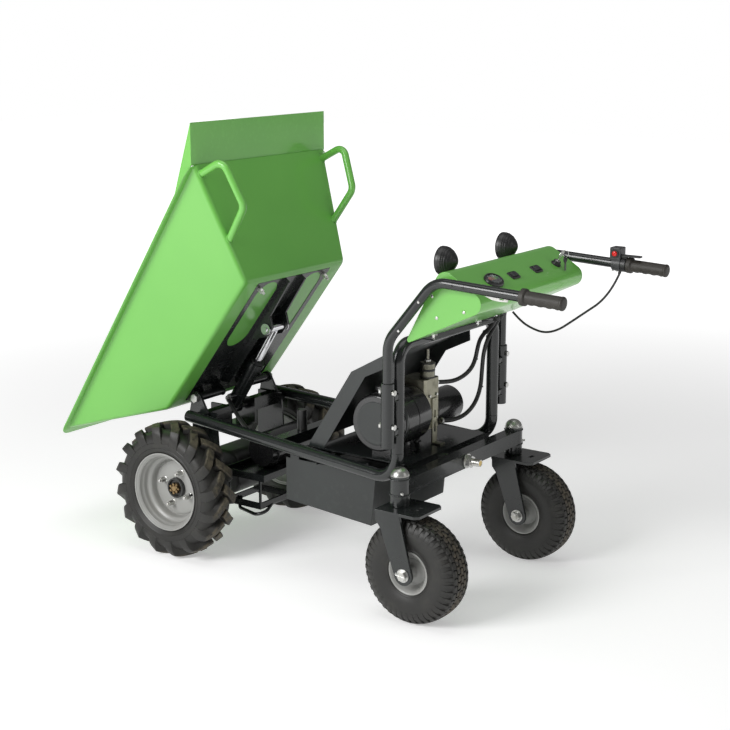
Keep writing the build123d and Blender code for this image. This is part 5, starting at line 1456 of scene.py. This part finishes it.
# ---- tub -----------------------------------------------------------------------------------------------------
@dataclass
class Tub:
    """Tipping tub: folded sheet with rolled bends, fence, hand loops and the welds of its subframe."""

    maker: Maker
    hinge: tuple[float, float] = (0.005, 0.440)
    tip: float = radians(53.13)
    sheet: float = 0.0025
    flange: float = 0.024
    bend: float = 0.010
    corner: float = 0.012
    floor_x: tuple[float, float] = (0.055, -0.444)
    floor_z: float = 0.0264
    floor_half: float = 0.227
    lip: tuple[float, float] = (0.351, 0.254)
    rear: tuple[float, float] = (-0.624, 0.3125)
    flare: float = 0.21

    def axes(self) -> tuple[np.ndarray, np.ndarray, np.ndarray]:
        """Forward, across and up in the tub's own frame, turned to the tipped pose."""
        return (np.array([cos(self.tip), 0, -sin(self.tip)]), np.array([0, 1.0, 0]),
                np.array([sin(self.tip), 0, cos(self.tip)]))

    def world(self, points: np.ndarray) -> np.ndarray:
        """Points of the tub's frame in the machine's frame."""
        return np.array([self.hinge[0], 0, self.hinge[1]]) + np.asarray(points, float) @ np.stack(self.axes())

    def half(self, z: float) -> float:
        """Half width of the tub at a height."""
        return self.floor_half + (z - self.floor_z) * self.flare

    def loop(self, share: float, grow: float = 0.0, steps: int = 9) -> np.ndarray:
        """Rounded outline between floor and rim.

        Each corner is the curve (1-s)^2 A + 2s(1-s) C + s^2 B between points A and B on its two edges.

        Args:
            share: 0 on the floor, 1 at the rim.
            grow: how far the outline moves outwards.
            steps: points of each corner.

        Returns:
            Array of points in the tub's frame.
        """
        xf, xr = self.floor_x
        low = np.array([(xf, self.floor_half, self.floor_z), (xr, self.floor_half, self.floor_z)])
        high = np.array([(self.lip[0], self.half(self.lip[1]), self.lip[1]),
                         (self.rear[0], self.half(self.rear[1]), self.rear[1])])
        front, back = low + (high - low) * share
        slant = (high[0] - high[1]) * [1, 0, 1]
        slant = slant / np.linalg.norm(slant)
        rear_grow = grow if grow < 0 or share < 1 else 0.0
        front = front + [0, grow, 0] + slant * grow
        back = back + [0, grow, 0] - slant * rear_grow
        corners = np.array([front, back, back * [1, -1, 1], front * [1, -1, 1]])
        before = np.roll(corners, 1, axis=0) - corners
        after = np.roll(corners, -1, axis=0) - corners
        before = before / np.linalg.norm(before, axis=1, keepdims=True)
        after = after / np.linalg.norm(after, axis=1, keepdims=True)
        s = np.linspace(0, 1, steps)[None, :, None]
        reach = self.corner + max(grow, 0.0)
        a, b, c = corners + before * reach, corners + after * reach, corners
        return ((1 - s) ** 2 * a[:, None] + 2 * s * (1 - s) * c[:, None] + s ** 2 * b[:, None]).reshape(-1, 3)

    @staticmethod
    def rolled(first: np.ndarray, fold: np.ndarray, last: np.ndarray, steps: int = 6) -> np.ndarray:
        """Outlines of a rolled bend, (1-s)^2 first + 2s(1-s) fold + s^2 last."""
        s = np.linspace(0, 1, steps)[:, None, None]
        return (1 - s) ** 2 * first + 2 * s * (1 - s) * fold + s ** 2 * last

    def shell(self) -> None:
        """Floor, walls and rim flange as one sheet with a rolled bend at each fold."""
        floor_in, floor, wall = self.loop(0, -self.bend), self.loop(0), self.loop(0.035)
        top, rim, out = self.loop(0.985), self.loop(1), self.loop(1, 0.004)
        middle = floor_in.mean(axis=0)
        rings = [middle + (floor_in - middle) * k for k in (0.0, 0.5)]
        climb = [self.loop(k) for k in np.linspace(0.035, 0.985, 8)[1:-1]]
        loops = np.concatenate([rings, self.rolled(floor_in, floor, wall), climb, self.rolled(top, rim, out),
                                [self.loop(1, self.flange)]])
        skin = grid(loops, along_v=Lay.ROUND)
        piece = self.maker.piece("tub_sheet", Patch(self.world(skin.points), skin.faces), "green", "tub",
                                 ("tub_shell",))
        thick = piece.modifiers.new("sheet", "SOLIDIFY")
        thick.thickness = self.sheet
        thick.offset = -1.0
        thick.use_even_offset = True
        thick.use_quality_normals = True

    def wall_rise(self) -> float:
        """Height gained for each unit up the rear wall."""
        dx, dz = self.rear[0] - self.floor_x[1], self.rear[1] - self.floor_z
        return dz / hypot(dx, dz)

    def wall(self, along: float, out: float, y: float) -> np.ndarray:
        """Point beside the rear wall, in the machine's frame."""
        foot = np.array([self.floor_x[1], y, self.floor_z])
        up = np.array([self.rear[0] - self.floor_x[1], 0, self.rear[1] - self.floor_z])
        up = up / np.linalg.norm(up)
        return self.world(foot + up * along + np.array([-up[2], 0, up[0]]) * out)

    def welds(self) -> None:
        """Weld beads at the feet of the hand loops, along the fence and round the hinge tubes."""
        wall_out = self.wall(0.1, 0.01, 0) - self.wall(0.1, 0.0, 0)
        beads = []
        for side in Side:
            for along in (0.3115, 0.1255):
                z = self.floor_z + along * self.wall_rise()
                y = side.value * (self.half(z) - 0.0135)
                beads.append(weld_ring(self.wall(along, 0.0012, y), wall_out, 0.0113, 0.0022))
        half = self.half(self.rear[1]) + 0.006
        ends = [self.world(np.array([self.rear[0] + 0.0015, way * half, self.rear[1] + 0.0032])) for way in (1, -1)]
        beads.append(weld_line(ends[0], ends[1], 0.0018))
        self.maker.piece("tub_welds", together(beads), "green", "tub", slot="green_paint", sharp=80)
        under = []
        for side in Side:
            for y in (0.050, 0.152):
                under.append(weld_ring((self.hinge[0], side.value * y, self.hinge[1]), (0, 1, 0), 0.0136, 0.0016))
        self.maker.piece("subframe_welds", together(under), "black", "tub", slot="black_paint", sharp=80)

    def build(self) -> None:
        """Makes the tub's pieces."""
        self.shell()
        self.maker.refined("tub_fence", "green", 0.0010, 3)
        self.maker.refined("tub_handles", "green", 0.0)
        self.welds()


# ---- chassis, power pack and hoses ------------------------------------------------------------------------------
@dataclass
class Chassis:
    """Weld beads, grease nipples, washers and small hardware of the frame and the power pack."""

    maker: Maker
    hoop_x: float = -0.748
    hoop_y: float = 0.236
    handle_y: float = 0.282
    rail: float = 0.017
    post: tuple[float, float] = (-0.791, 0.288)
    post_z: tuple[float, float] = (0.304, 0.380)
    beam_z: float = 0.352
    tank: tuple[float, float] = (-0.640, 0.468)
    tank_radius: float = 0.077
    tank_span: tuple[float, float] = (0.022, 0.180)
    motor_span: tuple[float, float] = (-0.182, -0.052)

    def welds(self) -> None:
        """Beads round socket ends and their lugs, along the ledge, and where posts meet the beam."""
        beads = []
        for side in Side:
            y = side.value
            beads.append(weld_ring((self.hoop_x, y * self.handle_y, 0.612), (0, 0, 1), 0.0150, 0.0017))
            for z in (0.480, 0.572):
                for dz in (-0.008, 0.008):
                    beads.append(weld_line((self.hoop_x - 0.0125, y * (self.hoop_y + 0.014), z + dz),
                                           (self.hoop_x - 0.0125, y * (self.handle_y - 0.012), z + dz), 0.0016))
        beads.append(weld_line((self.hoop_x - 0.0165, -0.148, 0.7095), (self.hoop_x - 0.0165, 0.148, 0.7095), 0.0022))
        self.maker.piece("frame_welds", together(beads), "black", "chassis", slot="black_paint", sharp=80)
        beam = []
        for side in Side:
            y = side.value * self.post[1]
            for z in (self.beam_z + 0.0205, self.beam_z - 0.0205):
                beam.append(weld_ring((self.post[0], y, z), (0, 0, 1), 0.0252, 0.0020))
        self.maker.piece("beam_welds", together(beam), "black", "rear_beam", slot="black_paint", sharp=80)

    def nipples(self) -> None:
        """Grease nipple on the side of each caster post, with its ball tip."""
        profile = np.array([(0, -0.5), (4.2, -0.5), (4.2, 2.6), (2.6, 3.2), (2.2, 5.0), (3.0, 6.2), (3.1, 7.6),
                            (2.2, 8.8),
                            (0.9, 9.2), (0, 9.0)]) * MM
        out = np.array([-0.72, 0.69, 0.0])
        parts = []
        for side in Side:
            way = out * [1, side.value, 1]
            centre = np.array([self.post[0], side.value * self.post[1], 0.338])
            parts.append(turned(profile, centre + way * 0.0250, way, 24))
        self.maker.piece("grease_nipples", together(parts), "zinc", "rear_beam", slot="zinc")

    def pack(self) -> None:
        """Tank band and end discs, breather, motor end bell screws and other screws, solenoid nut and the solenoid's
        rings.
        """
        x, z = self.tank
        low, high = self.tank_span
        ends = []
        disc = np.array([(0, 0), (58, 0), (59, 0.6), (59, 1.4), (56, 2.2), (52, 1.6), (46, 1.4), (0, 1.4)]) * MM
        for y, way in ((high, 1), (low, -1)):
            ends.append(turned(disc, (x, y, z), (0, way, 0), 96))
        band = np.array([(77.0, -7), (78.4, -6.8), (78.8, -6), (78.8, 6), (78.4, 6.8), (77.0, 7), (76.8, 7),
                         (76.8, -7), (77.0, -7)])
        ends.append(turned(band * MM, (x, 0.142, z), (0, 1, 0), 120))
        self.maker.piece("tank_discs_and_band", together(ends), "panel", "chassis", slot="satin_panel", sharp=40)
        filler = np.array([(0, -4), (15, -4), (15, 3), (14, 4), (12, 4.4), (12, 9), (17, 9.6), (18, 11),
                           (18, 18), (16.6, 20),
                           (0, 20.6)]) * MM
        self.maker.piece("tank_breather", turned(filler, (x, 0.150, z + self.tank_radius), (0, 0, 1), 48),
                         "plastic", "chassis",
                         slot="black_plastic", sharp=40)
        screws = []
        angle = radians(30) + np.arange(4) * pi / 2
        for a in angle:
            at = (x + 0.038 * cos(a), self.motor_span[0] - 0.0001, z - 0.016 + 0.038 * sin(a))
            screws.append(bolt_head(at, (0, -1, 0), 0.0042, 0.0034))
        for y, dz in ((0.0, 0.035), (-0.034, 0.035), (0.0, -0.03), (-0.034, -0.03)):
            screws.append(bolt_head((x - 0.0521, y, z + 0.01 + dz), (-1, 0, 0), 0.0046, 0.0036))
        nut = (x - 0.036, -0.014, 0.604)
        screws.append(bolt_head(nut, (0, 0, 1), 0.0085, 0.007))
        screws.append(threaded((nut[0], nut[1], 0.611), (nut[0], nut[1], 0.6395), 0.0043))
        self.maker.piece("power_pack_screws", together(screws), "zinc", "chassis", slot="zinc", sharp=35)
        coil = np.array([(20.0, 1), (20.9, 1.6), (20.9, 5.0), (20.0, 5.6), (20.0, 20), (20.5, 20.6), (20.5, 26),
                         (20.0, 26.6),
                         (20.0, 40), (20.9, 40.6), (20.9, 43.0), (19.8, 43.9), (19.8, 1), (20.0, 1)]) * MM
        self.maker.piece("solenoid_rings", turned(coil, (x - 0.036, -0.014, 0.560), (0, 0, 1), 56), "plastic",
                         "chassis",
                         slot="black_plastic", sharp=40)

    def bolts(self) -> None:
        """Thread of the rocking bolt, and washers under the frame's bolt heads."""
        thread = threaded((-0.8268, 0, self.beam_z), (-0.8562, 0, self.beam_z), 0.0101, 0.0018)
        self.maker.piece("beam_bolt_thread", thread, "brass", "chassis", slot="zinc", sharp=40)
        washers = []
        ring = np.array([(8.4, 0), (10.6, 0), (11.0, 0.3), (11.0, 1.2), (10.6, 1.5), (8.4, 1.5), (8.4, 0)]) * MM
        for side in Side:
            washers.append(turned(ring, (0.005, side.value * 0.1642, 0.440), (0, side.value, 0), 40))
        self.maker.piece("hinge_washers", together(washers), "zinc", "chassis", slot="zinc")

    def lift(self) -> None:
        """Wiper ring at the cylinder's mouth."""
        wiper = np.array([(12.7, 0), (20.5, 0), (21.5, 0.8), (21.5, 2.4), (18.0, 3.4), (13.2, 3.6), (12.7, 3.0),
                          (12.7, 0)]) * MM
        base, eye = np.array([0.012, 0, 0.373]), self.rod_eye()
        along = (eye - base) / np.linalg.norm(eye - base)
        self.maker.piece("rod_wiper", turned(wiper, base + along * 0.1901, along, 56), "plastic", "lift_barrel",
                         slot="black_plastic", sharp=40)

    def rod_eye(self) -> np.ndarray:
        """Rod eye of the lift cylinder: the point (-0.259, -0.0106) of the tub's frame."""
        tip = radians(53.13)
        return np.array([0.005 - 0.259 * cos(tip) - 0.0106 * sin(tip),
                         0, 0.440 + 0.259 * sin(tip) - 0.0106 * cos(tip)])

    def build(self) -> None:
        """Makes the chassis pieces."""
        self.welds()
        self.nipples()
        self.pack()
        self.bolts()
        self.lift()


@dataclass
class Lines:
    """Held throttle cable, lift hose and the two looms, each on one smooth NURBS line, with their ties."""

    maker: Maker
    throttle: tuple = ((-1107, -283, 856), (-1096, -284, 832), (-1075, -286, 797), (-1047, -286, 764),
                       (-1010, -284, 737),
                       (-969, -280, 706), (-931, -274, 678), (-893, -266, 667), (-855, -258, 678), (-825, -250, 697),
                       (-804, -245, 720))
    lift: tuple = ((-22, 55, 423), (-52, 78, 412), (-90, 98, 394), (-130, 115, 372), (-172, 128, 351),
                   (-220, 135, 340),
                   (-280, 136, 338), (-345, 135, 340), (-405, 130, 343), (-465, 112, 346), (-530, 76, 348),
                   (-575, 40, 349),
                   (-605, 11, 350), (-627, -2, 357), (-644, -11, 376), (-650, -14, 402), (-650, -14, 419.7))
    upper: tuple = ((-677, -54, 540), (-690, -84, 536), (-702, -118, 536), (-711, -152, 546), (-716, -178, 562),
                    (-719, -192, 586), (-722, -196, 614), (-734, -188, 643), (-757, -177, 668), (-786, -168, 692),
                    (-799, -166, 717))
    lower: tuple = ((-700, -46, 436), (-706, -78, 430), (-714, -114, 430), (-722, -152, 440), (-728, -184, 466),
                    (-731, -203, 506), (-731, -208, 556), (-736, -207, 606), (-752, -204, 650), (-781, -192, 688),
                    (-797, -188, 716))

    def tie(self, route: np.ndarray, place: int, radius: float) -> Patch:
        """Cable tie: a band round the hose at a route point."""
        along = route[place + 1] - route[place - 1]
        band = np.array([(radius, -2), (radius + 0.9, -2), (radius + 0.9, 2), (radius, 2), (radius, -2)]) * MM
        return turned(band, route[place], along, 32)

    def build(self) -> None:
        """Makes the lines and their fittings."""
        make = self.maker
        make.hose("throttle_line", np.array(self.throttle) * MM, 0.003, "hose", "chassis", ("throttle_cable",))
        make.hose("lift_hose_line", np.array(self.lift) * MM, 0.006, "hose", "chassis", ("hydraulic_hoses",))
        make.hose("upper_loom_line", np.array(self.upper) * MM, 0.006, "hose", "chassis")
        make.hose("lower_loom_line", np.array(self.lower) * MM, 0.006, "hose", "chassis")
        start, after = np.array(self.lift[0]) * MM, np.array(self.lift[1]) * MM
        ferrule = np.array([(0, 0), (6.5, 0), (7.8, 1.0), (8.0, 2.0), (8.0, 5.0), (7.2, 5.6), (7.2, 6.6),
                            (8.0, 7.2), (8.0, 10.2),
                            (7.2, 10.8), (7.2, 11.8), (8.0, 12.4), (8.0, 16.6), (7.2, 18.0), (6.1, 18.0),
                            (6.0, 17.0)]) * MM
        make.piece("lift_hose_ferrule", turned(ferrule, start, after - start, 40), "zinc", "chassis",
                   slot="zinc", sharp=40)
        upper, lower = np.array(self.upper) * MM, np.array(self.lower) * MM
        ends = [turned(ferrule[:6] * 1.05, line[0], line[1] - line[0], 36) for line in (upper, lower)]
        make.piece("loom_fittings", together(ends), "zinc", "chassis", slot="zinc", sharp=40)
        ties = [self.tie(line, place, 6.0) for line, place in ((upper, 5), (upper, 8), (lower, 5), (lower, 8))]
        make.piece("cable_ties", together(ties), "plastic", "chassis", slot="black_plastic", sharp=40)


FINISHES: dict[str, object] = {
    "green": Paint("green_powder_coat", (0.150, 0.462, 0.078), (0.160, 0.482, 0.083), rough=0.30, coat=0.30,
                   dust=0.015, dust_colour=(0.28, 0.46, 0.20), edge_wear_and_highlight=0.06),
    "black": Paint("black_gloss_paint", (0.0075, 0.009, 0.009), (0.012, 0.0145, 0.014), rough=0.24, coat=0.30,
                   dust=0.03, dust_colour=(0.06, 0.062, 0.055), edge_wear_and_highlight=0.12),
    "panel": Paint("dark_sheet_paint", (0.011, 0.013, 0.0125), (0.016, 0.020, 0.019), rough=0.30, coat=0.18,
                   dust=0.04, dust_colour=(0.06, 0.063, 0.055), edge_wear_and_highlight=0.14),
    "silver": Paint("silver_rim_paint", (0.27, 0.27, 0.26), (0.32, 0.32, 0.305), rough=0.36, coat=0.15,
                    dust=0.3, dust_colour=(0.25, 0.23, 0.19), edge_wear_and_highlight=0.2),
    "motor": Paint("black_motor_paint", (0.008, 0.008, 0.0085), (0.013, 0.013, 0.0135), rough=0.24, coat=0.5,
                   dust=0.05, dust_colour=(0.06, 0.06, 0.055), edge_wear_and_highlight=0.12),
    "zinc": Metal("zinc_plate", (0.60, 0.60, 0.585), (0.42, 0.40, 0.33), rough=0.30),
    "cap": Metal("domed_cap_steel", (0.50, 0.50, 0.48), (0.34, 0.33, 0.29), rough=0.34),
    "chrome": Metal("hard_chrome", (0.80, 0.80, 0.82), (0.66, 0.66, 0.68), rough=0.08, grain=0.25, pits=0.000004),
    "brass": Metal("yellow_brass", (0.62, 0.46, 0.18), (0.40, 0.29, 0.12), rough=0.3),
    "bronze": Metal("bronzed_nut", (0.30, 0.21, 0.11), (0.16, 0.12, 0.07), rough=0.35),
    "iron": Paint("black_iron", (0.014, 0.014, 0.014), (0.022, 0.022, 0.021), rough=0.42, coat=0.1, peel=0.00012,
                  dust=0.3, dust_colour=(0.10, 0.09, 0.075), edge_wear_and_highlight=0.35),
    "cast": Metal("olive_passivated_block", (0.33, 0.32, 0.25), (0.20, 0.19, 0.14), rough=0.36, pits=0.00008),
    "grip": Moulded("grip_rubber", (0.023, 0.020, 0.016), 0.52, 700.0, 0.00008),
    "plastic": Moulded("black_plastic", (0.012, 0.012, 0.0125), 0.36),
    "grey_plastic": Moulded("dark_grey_plastic", (0.030, 0.031, 0.033), 0.40),
    "hose": Moulded("hose_rubber", (0.010, 0.010, 0.010), 0.34, 1200.0, 0.00004),
    "red": Moulded("red_button", (0.62, 0.012, 0.010), 0.2, 1500.0, 0.00001, (0.35, 0.05, 0.04), 0.1),
    "clear": Clear("lamp_lens"),
    "reflector": Metal("lamp_reflector", (0.75, 0.75, 0.76), (0.62, 0.62, 0.63), rough=0.12, grain=0.2),
    "ceramic": Moulded("sealed_battery_case", (0.016, 0.016, 0.018), 0.48),
    "white": Moulded("nylon_nipple_cap", (0.62, 0.60, 0.54), 0.4),
}


def main() -> None:
    """Builds the frame's looks in order."""
    logging.basicConfig(level=logging.INFO, format="%(name)s: %(message)s")
    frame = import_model()
    record = frame["record"]
    bodies = record["behaviour"]["bodies"]
    body_of_node = {node: body for body, nodes in bodies.items() for node in nodes}
    slots = {part["node"]: part["material_slot"] for part in record["subparts"]}
    Studio().build()
    shop = Workshop(dict(FINISHES))
    maker = Maker(shop, frame["nodes"], body_of_node, slots)
    for side in Side:
        DriveWheel(maker, side).build()
        CasterWheel(maker, side).build()
    Console(maker).build()
    Handles(maker).build()
    Tub(maker).build()
    Chassis(maker).build()
    Lines(maker).build()
    Dressing(maker, maker.stood_for).build()


@dataclass
class Dressing:
    """Finish and edge softening of every CAD node whose shape is kept."""

    maker: Maker
    done: set[str]

    def build(self) -> None:
        """Copies each node with its bevel and finish."""
        finish = {"green_paint": "green", "black_paint": "black", "satin_panel": "panel", "rim_silver": "silver",
                  "zinc": "zinc", "chrome_rod": "chrome", "steel_cap": "cap", "grip_rubber": "grip",
                  "black_plastic": "plastic", "hose_rubber": "hose", "cast_block": "cast", "motor_black": "motor",
                  "red_plastic": "red", "hub_iron": "iron", "drive_tyre": "hose", "caster_tyre": "hose"}
        for node in self.maker.nodes:
            if node not in self.done:
                self.maker.refined(node, finish[self.maker.slot_of_node[node]], 0.0008)


if __name__ == "__main__":
    main()
